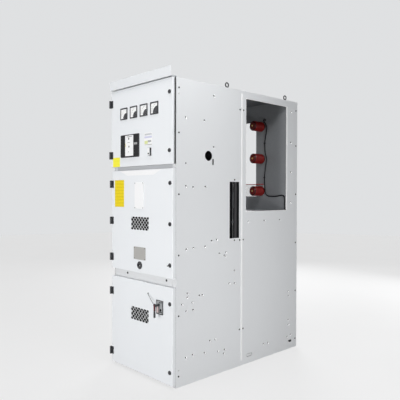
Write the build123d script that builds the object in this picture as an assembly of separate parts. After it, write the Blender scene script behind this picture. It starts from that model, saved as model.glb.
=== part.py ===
from build123d import *
import math
import os

# Metal-clad metering switchgear cabinet with three front doors.
# Frame: millimetres, X to the right seen from the front, Y to the back, Z up.
# Origin: centre of the base on the floor.

# Overall sizes of the cabinet body
WIDTH = 800.0
DEPTH = 1500.0
HEIGHT = 2300.0
SHEET = 2.0
BASE_SHEET = 3.0
BEND_RADIUS = 3.0

# Frame members
POST_WIDTH = 40.0
POST_DEPTH = 40.0
POST_LIP = 14.0
MID_POST_WIDTH = 60.0
RAIL_DEPTH = 40.0
TOP_RAIL_HEIGHT = 58.0
BASE_RAIL_HEIGHT = 57.0
REAR_TOP_RAIL_HEIGHT = 50.0

# Levels of the front face, from the floor
LOWER_DOOR_BOTTOM = 18.0
LOWER_DOOR_TOP = 747.0
MIDDLE_DOOR_BOTTOM = 813.0
MIDDLE_DOOR_TOP = 1629.0
UPPER_DOOR_BOTTOM = 1660.0
UPPER_DOOR_ROOF_GAP = 4.0
CROSSBAR_LAP = 8.0

# Inner walls, measured back from the front of the frame
SEAM_DEPTH = 725.0
INSTRUMENT_BOX_DEPTH = 560.0
REAR_SPACE_DEPTH = 150.0

# Doors
DOOR_SHEET = 2.0
DOOR_TRAY_DEPTH = 22.0
DOOR_LIP = 16.0
DOOR_GAP = 8.0
UPPER_DOOR_TRAY_DEPTH = 18.0
UPPER_DOOR_SEAL_DEPTH = 12.5
UPPER_DOOR_SEAL_WIDTH = 12.0
UPPER_DOOR_GAP = 5.0
DOOR_CORNER_RADIUS = 2.5

# Hinges
HINGE_HEIGHT = 62.0
HINGE_BARREL_RADIUS = 9.0
HINGE_PIN_RADIUS = 4.0
HINGE_PIN_CLEARANCE = 0.05
HINGE_KNUCKLE_GAP = 0.5
HINGE_AXIS_OUT = 3.4
HINGE_AXIS_AHEAD = 9.4
HINGE_LEAF_WIDTH = 26.0
HINGE_LEAF_THICKNESS = 4.0
HINGE_SIDE_LEAF = 32.0
HINGE_SIDE_THICKNESS = 3.0
UPPER_HINGE_ENDS = (99.5, 106.5)
MIDDLE_HINGE_ENDS = (95.0, 110.0)
LOWER_HINGE_ENDS = (92.0, 127.0)

# Quarter-turn door locks
LOCK_RADIUS = 15.5
LOCK_PROUD = 7.0
LOCK_STEM_RADIUS = 9.0
LOCK_STEM_LENGTH = 14.0
LOCK_HOLE_CLEARANCE = 0.5
LOCK_KEY_WIDTH = 5.0
LOCK_KEY_DEPTH = 4.0
LOCK_BEVEL = 2.0
LOCK_EDGE_DISTANCE = 32.0
UPPER_LOCK_ENDS = (100.5, 105.5)
MIDDLE_LOCK_ENDS = (98.0, 109.0)
LOWER_LOCK_ENDS = (97.0, 123.0)

# Instruments on the upper door
METER_COUNT = 4
METER_SIZE = 96.0
METER_BODY = 88.0
METER_BEZEL = 5.0
METER_BODY_DEPTH = 56.0
METER_PITCH = 134.0
METER_ROW_CENTRE = -13.5
METER_LEVEL_SHARE = 0.679
METER_CUTOUT_CLEARANCE = 1.0
METER_CORNER_RADIUS = 4.0
METER_RIM = 6.0
METER_GLASS_SINK = 3.0
RELAY_WIDTH = 248.0
RELAY_HEIGHT = 184.0
RELAY_BEZEL = 10.0
RELAY_BODY_INSET = 10.0
RELAY_BODY_DEPTH = 150.0
RELAY_X = -127.0
RELAY_LEVEL_SHARE = 0.2594
RELAY_CORNER_RADIUS = 6.0
RELAY_BEVEL = 2.0
CONTROLLER_WIDTH = 30.0
CONTROLLER_HEIGHT = 62.0
CONTROLLER_PROUD = 16.0
CONTROLLER_X = 134.0
CONTROLLER_LEVEL_SHARE = 0.161
CONTROLLER_CORNER_RADIUS = 3.0
CONTROLLER_EDGE_RADIUS = 2.0

# Pieces on the middle door
FITTINGS_X = -7.0
WINDOW_COVER_X = -12.0
WINDOW_COVER_WIDTH = 117.0
WINDOW_COVER_HEIGHT = 208.0
WINDOW_COVER_THICKNESS = 5.0
WINDOW_COVER_LEVEL = 1426.0
WINDOW_COVER_CORNER = 10.0
WINDOW_COVER_BEVEL = 2.0
VENT_WIDTH = 234.0
VENT_HEIGHT = 104.0
VENT_FLANGE = 16.0
VENT_GRILLE_THICKNESS = 1.5
VENT_MESH_ROWS = 6
VENT_MESH_COLUMNS = 6
VENT_MESH_PITCH_X = 37.8
VENT_MESH_PITCH_Z = 36.1
VENT_HOLE_WIDTH = 33.4
VENT_HOLE_HEIGHT = 31.9
MIDDLE_VENT_LEVEL = 1204.0
LOWER_VENT_LEVEL = 480.0
PLATE_WIDTH = 155.0
PLATE_HEIGHT = 100.0
PLATE_THICKNESS = 2.0
PLATE_LEVEL = 967.0
PLATE_CORNER_RADIUS = 4.0
CRANK_SOCKET_RADIUS = 31.0
CRANK_SOCKET_PROUD = 7.0
CRANK_SOCKET_BEVEL = 4.0
CRANK_HOLE_RADIUS = 13.0
CRANK_SOCKET_LEVEL = 873.0
CRANK_SOCKET_X = -5.0
CRANK_SLEEVE_WALL = 4.0
CRANK_SLEEVE_LENGTH = 16.0

# Interlock on the lower door
INTERLOCK_SIDE_DISTANCE = 147.0
INTERLOCK_LEVEL = 582.0
INTERLOCK_WIDTH = 77.0
INTERLOCK_HEIGHT = 107.0
INTERLOCK_PROUD = 7.0
INTERLOCK_CORNER_RADIUS = 6.0
INTERLOCK_BEVEL = 2.0
HANDLE_SHAFT_X = -5.0
HANDLE_SHAFT_LEVEL = 19.0
HANDLE_SHAFT_RADIUS = 6.0
HANDLE_SHAFT_CLEARANCE = 0.05
HANDLE_HUB_RADIUS = 9.5
HANDLE_REACH = 48.0
HANDLE_BAR_WIDTH = 13.0
HANDLE_BAR_THICKNESS = 10.0
HANDLE_BAR_LENGTH = 107.0
HANDLE_BAR_ABOVE = 15.0
HANDLE_BAR_ROUNDING = 6.0
HANDLE_HUB_GAP = 0.3

# Header plate above the upper door
HEADER_HEIGHT = 72.0
HEADER_LEAN = 9.0
HEADER_OVERHANG = 47.0
HEADER_LIFT = 2.0
HEADER_FOOT_DEPTH = 24.0
HEADER_STEP = 6.0
HEADER_GUSSET_COUNT = 3
HEADER_GUSSET_THICKNESS = 3.0
HEADER_GUSSET_DEPTH = 36.0
HEADER_GUSSET_HEIGHT = 56.0

# Cut-outs in the side panels, measured back from the front of the frame
ROUND_HOLE_RADIUS = 39.0
ROUND_HOLE_DEPTH = 333.0
ROUND_HOLE_LEVEL = 1737.0
SMALL_SLOT_WIDTH = 16.0
SMALL_SLOT_HEIGHT = 46.0
SMALL_SLOT_DEPTH = 383.0
SMALL_SLOT_LEVEL = 1691.0
TALL_SLOT_WIDTH = 116.0
TALL_SLOT_HEIGHT = 464.0
TALL_SLOT_DEPTH = 633.0
TALL_SLOT_LEVEL = 1307.0
SIDE_OPENING_SEAM_DISTANCE = 46.0
SIDE_OPENING_WALL_DISTANCE = 4.0
SIDE_OPENING_BOTTOM = 1288.0
SIDE_OPENING_ROOF_DISTANCE = 55.0
SIDE_OPENING_RETURN = 14.0
SIDE_OPENING_CORNER = 12.0
OVAL_SLOT_WIDTH = 70.0
OVAL_SLOT_HEIGHT = 26.0
OVAL_SLOT_SEAM_DISTANCE = 100.0
OVAL_SLOT_LEVEL = 67.0
EARTH_SLOT_WIDTH = 54.0
EARTH_SLOT_HEIGHT = 22.0
EARTH_SLOT_REAR_DISTANCE = 103.0
EARTH_SLOT_LEVEL = 68.0

# Strip over the joint of the side panels
JOINT_STRIP_WIDTH = 18.0
JOINT_STRIP_THICKNESS = 3.0
JOINT_STRIP_BEVEL = 1.8
JOINT_STRIP_BOTTOM = 40.0
JOINT_STRIP_TOP_END = 25.0

# Post insulators on the busbar wall
INSULATOR_COUNT = 3
INSULATOR_SIDE_DISTANCE = 314.0
INSULATOR_FOOT_DISTANCE = 52.0
INSULATOR_HEAD_DISTANCE = 50.0
INSULATOR_LENGTH = 130.0
INSULATOR_RIB_RADIUS = 47.0
INSULATOR_CORE_RADIUS = 38.5
INSULATOR_TIP_RADIUS = 31.5
INSULATOR_RIB_COUNT = 5
INSULATOR_BASE_LENGTH = 16.0
INSULATOR_TIP_LENGTH = 14.0

# Window in the busbar wall, and the barrier sheet across its foot
WINDOW_WIDTH = 340.0
WINDOW_INSULATOR_DISTANCE = 62.0
WINDOW_FLOOR_DISTANCE = 131.0
WINDOW_ROOF_DISTANCE = 163.0
BARRIER_WIDTH = 260.0
BARRIER_PAST_INSULATOR = 34.0
BARRIER_HEIGHT = 119.0
BARRIER_LAP = 12.0
BARRIER_THICKNESS = 3.0
BARRIER_CLEARANCE = 1.0

# Sensor lead along the busbar wall
LEAD_RADIUS = 4.5
LEAD_WALL_CLEARANCE = 0.2
LEAD_OUT_OF_WALL = 40.0
LEAD_CORNER_DISTANCE = 23.0
LEAD_LAST_DROP = 104.0
LEAD_SWAY = 12.0
GLAND_RADIUS = 10.0
GLAND_HEIGHT = 7.0
GLAND_CLEARANCE = 0.2

# Back of the cabinet
REAR_COVER_TOP_LAP = 4.0
REAR_COVER_BOTTOM = 20.0
REAR_COVER_SIDE_GAP = 12.0
REAR_COVER_FLANGE = 12.0

# Shutter rails seen through the tall slot
SHUTTER_RAIL_WIDTH = 26.0
SHUTTER_RAIL_DEPTH = 20.0
SHUTTER_RAIL_BOTTOM = 960.0
SHUTTER_RAIL_LENGTH = 620.0
SHUTTER_RAIL_AHEAD = 55.0

# Roof
RELIEF_FLAP_MARGIN = 55.0
RELIEF_FLAP_MIDDLE = 420.0
RELIEF_FLAP_GAP = 30.0
RELIEF_FLAP_THICKNESS = 2.0
RELIEF_FLAP_RIB = 8.0
EYE_FRONT_DISTANCE = 560.0
EYE_REAR_DISTANCE = 167.0
EYE_SIDE_DISTANCE = 20.0
EYE_RING_RADIUS = 17.5
EYE_WIRE_RADIUS = 5.0
EYE_COLLAR_RADIUS = 12.5
EYE_COLLAR_HEIGHT = 6.0
EYE_COLLAR_BEVEL = 1.0

# Planes and levels worked out from the sizes above
FRONT = -DEPTH / 2
REAR = DEPTH / 2
SIDE_INSIDE = WIDTH / 2 - SHEET
UPPER_DOOR_TOP = HEIGHT - UPPER_DOOR_ROOF_GAP
SIDE_OPENING_TOP = HEIGHT - SIDE_OPENING_ROOF_DISTANCE
SIDE_OPENING_START = SEAM_DEPTH + SIDE_OPENING_SEAM_DISTANCE
SIDE_OPENING_END = DEPTH - REAR_SPACE_DEPTH - SIDE_OPENING_WALL_DISTANCE
OVAL_SLOT_DEPTH = SEAM_DEPTH + OVAL_SLOT_SEAM_DISTANCE
EARTH_SLOT_DEPTH = DEPTH - EARTH_SLOT_REAR_DISTANCE
POST_INSIDE = SIDE_INSIDE - POST_WIDTH
ROOF_UNDERSIDE = HEIGHT - SHEET
SEAM = FRONT + SEAM_DEPTH
MID_WALL_BACK = SEAM - MID_POST_WIDTH / 2
MID_WALL_FRONT = MID_WALL_BACK - SHEET
BUSBAR_WALL_FRONT = REAR - REAR_SPACE_DEPTH
MIDDLE_BAR_BOTTOM = LOWER_DOOR_TOP - CROSSBAR_LAP
MIDDLE_BAR_TOP = MIDDLE_DOOR_BOTTOM + CROSSBAR_LAP
UPPER_BAR_BOTTOM = MIDDLE_DOOR_TOP - CROSSBAR_LAP
UPPER_BAR_TOP = UPPER_DOOR_BOTTOM + CROSSBAR_LAP
BREAKER_FLOOR_LEVEL = MIDDLE_BAR_TOP - SHEET
BUSBAR_FLOOR_LEVEL = SIDE_OPENING_BOTTOM - 2 * SHEET
INSTRUMENT_FLOOR_LEVEL = UPPER_BAR_TOP - SHEET
REAR_COVER_TOP = BUSBAR_FLOOR_LEVEL + REAR_COVER_TOP_LAP
WINDOW_BOTTOM = BUSBAR_FLOOR_LEVEL + WINDOW_FLOOR_DISTANCE
WINDOW_TOP = HEIGHT - WINDOW_ROOF_DISTANCE
INSULATOR_X = WIDTH / 2 - INSULATOR_SIDE_DISTANCE
INSULATOR_LOWEST = WINDOW_BOTTOM + INSULATOR_FOOT_DISTANCE
INSULATOR_HIGHEST = WINDOW_TOP - INSULATOR_HEAD_DISTANCE
WINDOW_RIGHT = INSULATOR_X - WINDOW_INSULATOR_DISTANCE
WINDOW_LEFT = WINDOW_RIGHT - WINDOW_WIDTH
BARRIER_RIGHT = INSULATOR_X + BARRIER_PAST_INSULATOR
BARRIER_LEFT = BARRIER_RIGHT - BARRIER_WIDTH
BARRIER_TOP = WINDOW_BOTTOM + BARRIER_HEIGHT
UPPER_DOOR_HEIGHT = UPPER_DOOR_TOP - UPPER_DOOR_BOTTOM
METER_LEVEL = UPPER_DOOR_BOTTOM + METER_LEVEL_SHARE * UPPER_DOOR_HEIGHT
RELAY_LEVEL = UPPER_DOOR_BOTTOM + RELAY_LEVEL_SHARE * UPPER_DOOR_HEIGHT
CONTROLLER_LEVEL = UPPER_DOOR_BOTTOM + CONTROLLER_LEVEL_SHARE * UPPER_DOOR_HEIGHT
INTERLOCK_X = WIDTH / 2 - INTERLOCK_SIDE_DISTANCE
HEADER_BOTTOM = HEIGHT + HEADER_LIFT
DOOR_FACE = FRONT - DOOR_GAP - DOOR_TRAY_DEPTH
UPPER_DOOR_FACE = FRONT - UPPER_DOOR_GAP - UPPER_DOOR_SEAL_DEPTH - UPPER_DOOR_TRAY_DEPTH


def block(x, y, z):
    """Box between the two limits given for each of x, y and z."""
    sizes = (x[1] - x[0], y[1] - y[0], z[1] - z[0])
    return Pos(x[0], y[0], z[0]) * Box(*sizes, align=(Align.MIN, Align.MIN, Align.MIN))


def facing_plate(centre_x, level, width, height, corner, y_front, y_back):
    """Plate with rounded corners that faces the front, between two Y planes."""
    outline = Plane.XZ.offset(-y_back) * Pos(centre_x, level) * RectangleRounded(width, height, corner)
    return extrude(outline, y_back - y_front)


def side_cutter(depth, level, sketch):
    """Sketch pushed through the right side panel, centred at a depth and a level."""
    plane = Plane((SIDE_INSIDE - SHEET, FRONT + depth, level), x_dir=(0, 1, 0), z_dir=(1, 0, 0))
    return extrude(plane * sketch, 3 * SHEET)


def folded(points, plane, length, thickness=SHEET):
    """Sheet folded along a line of points in a plane and as long as length.

    The line is the outer face of the sheet, which lies to the left of it.
    """
    line = FilletPolyline(*points, radius=BEND_RADIUS)
    section = make_face(offset(line, thickness, side=Side.LEFT))
    return extrude(plane * section, length)


def both_sides(solid):
    """The right-hand solid and its mirror image on the left."""
    return [solid, mirror(solid, Plane.YZ)]


# Side panels

def front_side_panel():
    """Right front side panel with the cable hole and the two slots."""
    panel = block((SIDE_INSIDE, WIDTH / 2), (FRONT, SEAM), (0, HEIGHT))
    panel -= side_cutter(ROUND_HOLE_DEPTH, ROUND_HOLE_LEVEL, Circle(ROUND_HOLE_RADIUS))
    panel -= side_cutter(SMALL_SLOT_DEPTH, SMALL_SLOT_LEVEL, Rectangle(SMALL_SLOT_WIDTH, SMALL_SLOT_HEIGHT))
    panel -= side_cutter(TALL_SLOT_DEPTH, TALL_SLOT_LEVEL, Rectangle(TALL_SLOT_WIDTH, TALL_SLOT_HEIGHT))
    return panel


def rear_side_panel():
    """Right rear side panel: busbar opening with an inward return, and two low slots."""
    panel = block((SIDE_INSIDE, WIDTH / 2), (SEAM, REAR), (0, HEIGHT))
    width = SIDE_OPENING_END - SIDE_OPENING_START
    height = SIDE_OPENING_TOP - SIDE_OPENING_BOTTOM
    depth = (SIDE_OPENING_START + SIDE_OPENING_END) / 2
    level = (SIDE_OPENING_BOTTOM + SIDE_OPENING_TOP) / 2
    inner = RectangleRounded(width, height, SIDE_OPENING_CORNER)
    outer = RectangleRounded(width + 2 * SHEET, height + 2 * SHEET, SIDE_OPENING_CORNER + SHEET)
    plane = Plane(
        (WIDTH / 2 - SIDE_OPENING_RETURN, FRONT + depth, level), x_dir=(0, 1, 0), z_dir=(1, 0, 0)
    )
    panel += extrude(plane * outer, SIDE_OPENING_RETURN)
    panel -= extrude(plane * inner, SIDE_OPENING_RETURN)
    panel -= side_cutter(OVAL_SLOT_DEPTH, OVAL_SLOT_LEVEL, SlotOverall(OVAL_SLOT_WIDTH, OVAL_SLOT_HEIGHT))
    panel -= side_cutter(EARTH_SLOT_DEPTH, EARTH_SLOT_LEVEL, SlotOverall(EARTH_SLOT_WIDTH, EARTH_SLOT_HEIGHT))
    return panel


def joint_strip():
    """Bevelled strip over the joint between the right side panels."""
    strip = block(
        (WIDTH / 2, WIDTH / 2 + JOINT_STRIP_THICKNESS),
        (SEAM - JOINT_STRIP_WIDTH / 2, SEAM + JOINT_STRIP_WIDTH / 2),
        (JOINT_STRIP_BOTTOM, HEIGHT - JOINT_STRIP_TOP_END),
    )
    outer_face = strip.faces().sort_by(Axis.X)[-1]
    return chamfer(outer_face.edges().filter_by(Axis.Z), JOINT_STRIP_BEVEL)


# Frame members

def corner_post():
    """Folded post in the right front corner, open to the inside."""
    points = [
        (POST_INSIDE, FRONT + POST_LIP),
        (POST_INSIDE, FRONT),
        (SIDE_INSIDE, FRONT),
        (SIDE_INSIDE, FRONT + POST_DEPTH),
        (SIDE_INSIDE - POST_LIP, FRONT + POST_DEPTH),
    ]
    return folded(points, Plane.XY.offset(BASE_SHEET), ROOF_UNDERSIDE - BASE_SHEET)


def middle_post():
    """Folded post behind the joint of the right side panels."""
    half = MID_POST_WIDTH / 2
    points = [
        (SIDE_INSIDE - POST_DEPTH, SEAM - half),
        (SIDE_INSIDE, SEAM - half),
        (SIDE_INSIDE, SEAM + half),
        (SIDE_INSIDE - POST_LIP, SEAM + half),
    ]
    return folded(points, Plane.XY.offset(BASE_SHEET), ROOF_UNDERSIDE - BASE_SHEET)


def front_rail(bottom, top):
    """Folded rail between the front posts, open to the back."""
    points = [
        (FRONT + RAIL_DEPTH, top),
        (FRONT, top),
        (FRONT, bottom),
        (FRONT + RAIL_DEPTH, bottom),
    ]
    plane = Plane((-POST_INSIDE, 0, 0), x_dir=(0, 1, 0), z_dir=(1, 0, 0))
    return folded(points, plane, 2 * POST_INSIDE)


def rear_top_rail():
    """Folded rail across the top of the back, open to the front."""
    bottom = ROOF_UNDERSIDE - REAR_TOP_RAIL_HEIGHT
    points = [
        (REAR - RAIL_DEPTH, bottom),
        (REAR, bottom),
        (REAR, ROOF_UNDERSIDE),
        (REAR - RAIL_DEPTH, ROOF_UNDERSIDE),
    ]
    plane = Plane((-POST_INSIDE, 0, 0), x_dir=(0, 1, 0), z_dir=(1, 0, 0))
    return folded(points, plane, 2 * POST_INSIDE)


# Floors and inner walls

def inner_floor(level, front, back):
    """Floor between the side panels, notched round the posts."""
    plate = block((-SIDE_INSIDE, SIDE_INSIDE), (front, back), (level, level + SHEET))
    for post in post_envelopes():
        plate -= post
    return plate


def post_envelopes():
    """Boxes round the six posts, for the notches of what fits between them."""
    levels = (0, HEIGHT)
    corner = block((POST_INSIDE, SIDE_INSIDE), (FRONT, FRONT + POST_DEPTH), levels)
    rear = block((POST_INSIDE, SIDE_INSIDE), (REAR - POST_DEPTH, REAR), levels)
    middle = block((SIDE_INSIDE - POST_DEPTH, SIDE_INSIDE), (MID_WALL_BACK, MID_WALL_BACK + MID_POST_WIDTH), levels)
    return both_sides(corner) + both_sides(rear) + both_sides(middle)


def inner_wall(front, bottom, top):
    """Wall across the cabinet from side panel to side panel."""
    return block((-SIDE_INSIDE, SIDE_INSIDE), (front, front + SHEET), (bottom, top))


def busbar_wall():
    """Wall behind the busbars with the window on its left half."""
    wall = inner_wall(BUSBAR_WALL_FRONT, BUSBAR_FLOOR_LEVEL + SHEET, ROOF_UNDERSIDE)
    hole = block(
        (WINDOW_LEFT, WINDOW_RIGHT),
        (BUSBAR_WALL_FRONT - SHEET, BUSBAR_WALL_FRONT + 2 * SHEET),
        (WINDOW_BOTTOM, WINDOW_TOP),
    )
    return wall - hole


def barrier_sheet():
    """White sheet across the foot of the window, notched round the lowest insulator."""
    sheet = block(
        (BARRIER_LEFT, BARRIER_RIGHT),
        (BUSBAR_WALL_FRONT - BARRIER_THICKNESS, BUSBAR_WALL_FRONT),
        (WINDOW_BOTTOM - BARRIER_LAP, BARRIER_TOP),
    )
    plane = Plane((INSULATOR_X, BUSBAR_WALL_FRONT, INSULATOR_LOWEST), x_dir=(1, 0, 0), z_dir=(0, -1, 0))
    notch = extrude(plane * Circle(INSULATOR_RIB_RADIUS + BARRIER_CLEARANCE), 2 * BARRIER_THICKNESS)
    return sheet - notch


def insulator_levels():
    """Levels of the insulators, evenly spread beside the window."""
    step = (INSULATOR_HIGHEST - INSULATOR_LOWEST) / (INSULATOR_COUNT - 1)
    return [INSULATOR_LOWEST + index * step for index in range(INSULATOR_COUNT)]


def insulator(level):
    """Ribbed post insulator, turned about its own axis, pointing to the front."""
    rib_zone = INSULATOR_LENGTH - INSULATOR_BASE_LENGTH - INSULATOR_TIP_LENGTH
    rib_pitch = rib_zone / INSULATOR_RIB_COUNT
    points = [(0, 0), (INSULATOR_RIB_RADIUS, 0), (INSULATOR_RIB_RADIUS, INSULATOR_BASE_LENGTH)]
    for rib in range(INSULATOR_RIB_COUNT):
        start = INSULATOR_BASE_LENGTH + rib * rib_pitch
        points.append((INSULATOR_CORE_RADIUS, start + rib_pitch * 0.3))
        points.append((INSULATOR_CORE_RADIUS, start + rib_pitch * 0.5))
        points.append((INSULATOR_RIB_RADIUS, start + rib_pitch * 0.8))
        points.append((INSULATOR_RIB_RADIUS, start + rib_pitch))
    points.append((INSULATOR_TIP_RADIUS, INSULATOR_LENGTH))
    points.append((0, INSULATOR_LENGTH))
    section = make_face(Polyline(*points, close=True))
    seat = Plane((INSULATOR_X, BUSBAR_WALL_FRONT, level), x_dir=(1, 0, 0), z_dir=(0, 0, 1))
    turned = revolve(section, Axis.Y)
    return seat * Rot(180, 0, 0) * turned


def lead_stops():
    """Route of the lead: out of the wall, down past the insulators and into the floor."""
    y = BUSBAR_WALL_FRONT - LEAD_RADIUS - LEAD_WALL_CLEARANCE
    near = INSULATOR_X + INSULATOR_RIB_RADIUS + LEAD_RADIUS
    corner = SIDE_INSIDE - LEAD_CORNER_DISTANCE
    bottom = BUSBAR_FLOOR_LEVEL + SHEET
    rise = WINDOW_TOP - bottom
    down = [(2.4, 0.935), (0.8, 0.84), (-0.4, 0.753), (0.1, 0.647), (2.0, 0.576), (0.95, 0.506)]
    down += [(-0.6, 0.365), (0.2, 0.224), (0.75, 0.18)]
    across = [(0.175, 0.154), (0.569, 0.1515), (0.875, 0.169), (0.974, 0.1555)]
    out = Vector(near, BUSBAR_WALL_FRONT, WINDOW_TOP + LEAD_SWAY)
    route = [out, out - Vector(0, LEAD_OUT_OF_WALL, 0)]
    route += [Vector(near + sway * LEAD_SWAY, y, bottom + share * rise) for sway, share in down]
    route += [Vector(near + (corner - near) * way, y, bottom + share * rise) for way, share in across]
    end = Vector(corner, BUSBAR_WALL_FRONT - GLAND_RADIUS - GLAND_CLEARANCE, bottom)
    return route + [end + Vector(0, 0, LEAD_LAST_DROP), end]


def sensor_lead():
    """Lead that runs down the busbar wall past the insulators to the right-hand corner."""
    points = lead_stops()
    radii = lead_radii(points)
    path = FilletPolyline(*points, radius=radii)
    ring = Plane(origin=path @ 0, z_dir=path % 0) * Circle(LEAD_RADIUS)
    print("lead length", round(path.length), "radii", [round(r) for r in radii])
    return sweep(ring, path)


def gland(plane):
    """Collar round the lead where it goes through a sheet."""
    collar = extrude(plane * Circle(GLAND_RADIUS), GLAND_HEIGHT)
    return collar - extrude(plane * Circle(LEAD_RADIUS + GLAND_CLEARANCE), GLAND_HEIGHT)


def lead_radii(points):
    """Largest arc that the two runs at each corner of a route leave room for."""
    radii = []
    for before, corner, after in zip(points, points[1:], points[2:]):
        first = corner - before
        second = after - corner
        half_turn = first.get_angle(second) / 2
        shorter = min(first.length, second.length)
        radii.append(0.45 * shorter / math.tan(math.radians(half_turn)))
    return radii


# Back, roof and header

def rear_cover():
    """Screwed tray that covers the lower half of the back."""
    half = WIDTH / 2 - REAR_COVER_SIDE_GAP
    outer = block((-half, half), (REAR, REAR + REAR_COVER_FLANGE), (REAR_COVER_BOTTOM, REAR_COVER_TOP))
    upright = outer.faces().sort_by(Axis.Y)[-1].edges()
    outer = fillet(upright, BEND_RADIUS)
    inner = block(
        (-half + SHEET, half - SHEET),
        (REAR, REAR + REAR_COVER_FLANGE - SHEET),
        (REAR_COVER_BOTTOM + SHEET, REAR_COVER_TOP - SHEET),
    )
    return outer - inner


def relief_flaps():
    """Three pressure relief flaps on the roof, each with a folded rim."""
    bays = [FRONT, FRONT + INSTRUMENT_BOX_DEPTH, FRONT + INSTRUMENT_BOX_DEPTH + RELIEF_FLAP_MIDDLE, REAR]
    half = WIDTH / 2 - RELIEF_FLAP_MARGIN
    flaps = []
    for start, end in zip(bays, bays[1:]):
        y = (start + RELIEF_FLAP_GAP, end - RELIEF_FLAP_GAP)
        flap = block((-half, half), y, (HEIGHT, HEIGHT + RELIEF_FLAP_RIB))
        flap = chamfer(flap.faces().sort_by(Axis.Z)[-1].edges(), RELIEF_FLAP_RIB / 2)
        skin = RELIEF_FLAP_THICKNESS
        flap -= block(
            (-half + RELIEF_FLAP_RIB, half - RELIEF_FLAP_RIB),
            (y[0] + RELIEF_FLAP_RIB, y[1] - RELIEF_FLAP_RIB),
            (HEIGHT, HEIGHT + RELIEF_FLAP_RIB - skin),
        )
        flaps.append(flap)
    return flaps


def lifting_eye(x, y):
    """Ring bolt that stands on the roof."""
    collar = Pos(x, y, HEIGHT + EYE_COLLAR_HEIGHT / 2) * Cylinder(EYE_COLLAR_RADIUS, EYE_COLLAR_HEIGHT)
    collar = chamfer(collar.faces().sort_by(Axis.Z)[-1].edges(), EYE_COLLAR_BEVEL)
    centre = HEIGHT + EYE_COLLAR_HEIGHT + EYE_RING_RADIUS + EYE_WIRE_RADIUS / 2
    ring = Pos(x, y, centre) * Rot(0, 90, 0) * Torus(EYE_RING_RADIUS, EYE_WIRE_RADIUS)
    return collar + ring


def header_plate():
    """Plate that leans forward above the upper door, folded from one sheet with its foot on the roof."""
    bottom = HEADER_BOTTOM
    rise = HEADER_OVERHANG * HEADER_LEAN / HEADER_HEIGHT
    points = [
        (FRONT + HEADER_FOOT_DEPTH, HEIGHT),
        (FRONT + HEADER_STEP, HEIGHT),
        (FRONT, bottom + rise),
        (FRONT - HEADER_OVERHANG, bottom),
        (FRONT - HEADER_OVERHANG - HEADER_LEAN, bottom + HEADER_HEIGHT),
    ]
    line = FilletPolyline(*points, radius=BEND_RADIUS)
    section = make_face(offset(line, SHEET, side=Side.RIGHT))
    plate = extrude(Plane((-WIDTH / 2, 0, 0), x_dir=(0, 1, 0), z_dir=(1, 0, 0)) * section, WIDTH)
    bay = WIDTH / (HEADER_GUSSET_COUNT + 1)
    for index in range(HEADER_GUSSET_COUNT):
        plate += header_gusset(bay * (index + 1) - WIDTH / 2)
    return plate


def header_gusset(x):
    """Triangular gusset in the corner of the header plate."""
    lean = math.degrees(math.atan2(HEADER_LEAN, HEADER_HEIGHT))
    corner = [(0, 0), (HEADER_GUSSET_DEPTH, 0), (0, HEADER_GUSSET_HEIGHT)]
    start = (x - HEADER_GUSSET_THICKNESS / 2, FRONT - HEADER_OVERHANG, HEADER_BOTTOM)
    plane = Plane(start, x_dir=(0, 1, 0), z_dir=(1, 0, 0)) * Rot(0, 0, lean) * Pos(SHEET, SHEET)
    return extrude(plane * make_face(Polyline(*corner, close=True)), HEADER_GUSSET_THICKNESS)


# Doors

def door_tray(bottom, top, face, depth, lip):
    """Folded door: front sheet, four returns and an inner lip round the back."""
    half = WIDTH / 2
    tray = block((-half, half), (face, face + depth), (bottom, top))
    tray = fillet(tray.faces().sort_by(Axis.Y)[0].edges(), DOOR_CORNER_RADIUS)
    tray -= block(
        (-half + DOOR_SHEET, half - DOOR_SHEET),
        (face + DOOR_SHEET, face + depth - DOOR_SHEET),
        (bottom + DOOR_SHEET, top - DOOR_SHEET),
    )
    tray -= block(
        (-half + lip, half - lip),
        (face + depth - 2 * DOOR_SHEET, face + depth + DOOR_SHEET),
        (bottom + lip, top - lip),
    )
    return tray


def spread_levels(bottom, top, ends, count):
    """Levels of the locks or hinges of a door, evenly spread between its end distances."""
    lowest = bottom + ends[0]
    highest = top - ends[1]
    step = (highest - lowest) / (count - 1)
    return [lowest + step * index for index in range(count)]


def lock(face, level):
    """Quarter-turn lock: round head with a key slot, and its stem through the door."""
    x = WIDTH / 2 - LOCK_EDGE_DISTANCE
    plane = Plane((x, face, level), x_dir=(1, 0, 0), z_dir=(0, -1, 0))
    head = extrude(plane * Circle(LOCK_RADIUS), LOCK_PROUD)
    head = chamfer(head.faces().sort_by(Axis.Y)[0].edges(), LOCK_BEVEL)
    slot = extrude(plane.offset(LOCK_PROUD - LOCK_KEY_DEPTH) * Rectangle(LOCK_KEY_WIDTH, LOCK_RADIUS), LOCK_PROUD)
    stem = extrude(plane * Circle(LOCK_STEM_RADIUS), -LOCK_STEM_LENGTH)
    return head + stem - slot


def lock_hole(face, level):
    """Hole in the door for a lock's stem."""
    x = WIDTH / 2 - LOCK_EDGE_DISTANCE
    plane = Plane((x, face - DOOR_SHEET, level), x_dir=(1, 0, 0), z_dir=(0, 1, 0))
    return extrude(plane * Circle(LOCK_STEM_RADIUS + LOCK_HOLE_CLEARANCE), 3 * DOOR_SHEET)


def hinge_axis(face):
    """Place of a hinge pin beside a door face, as x and y."""
    return (-WIDTH / 2 - HINGE_AXIS_OUT, face - HINGE_AXIS_AHEAD)


def barrel(face, bottom, height, bore):
    """Piece of a hinge barrel, bored for the pin when a bore radius is given."""
    x, y = hinge_axis(face)
    plane = Plane((x, y, bottom))
    solid = extrude(plane * Circle(HINGE_BARREL_RADIUS), height)
    if bore:
        solid -= extrude(plane * Circle(bore), height)
    return solid


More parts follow.
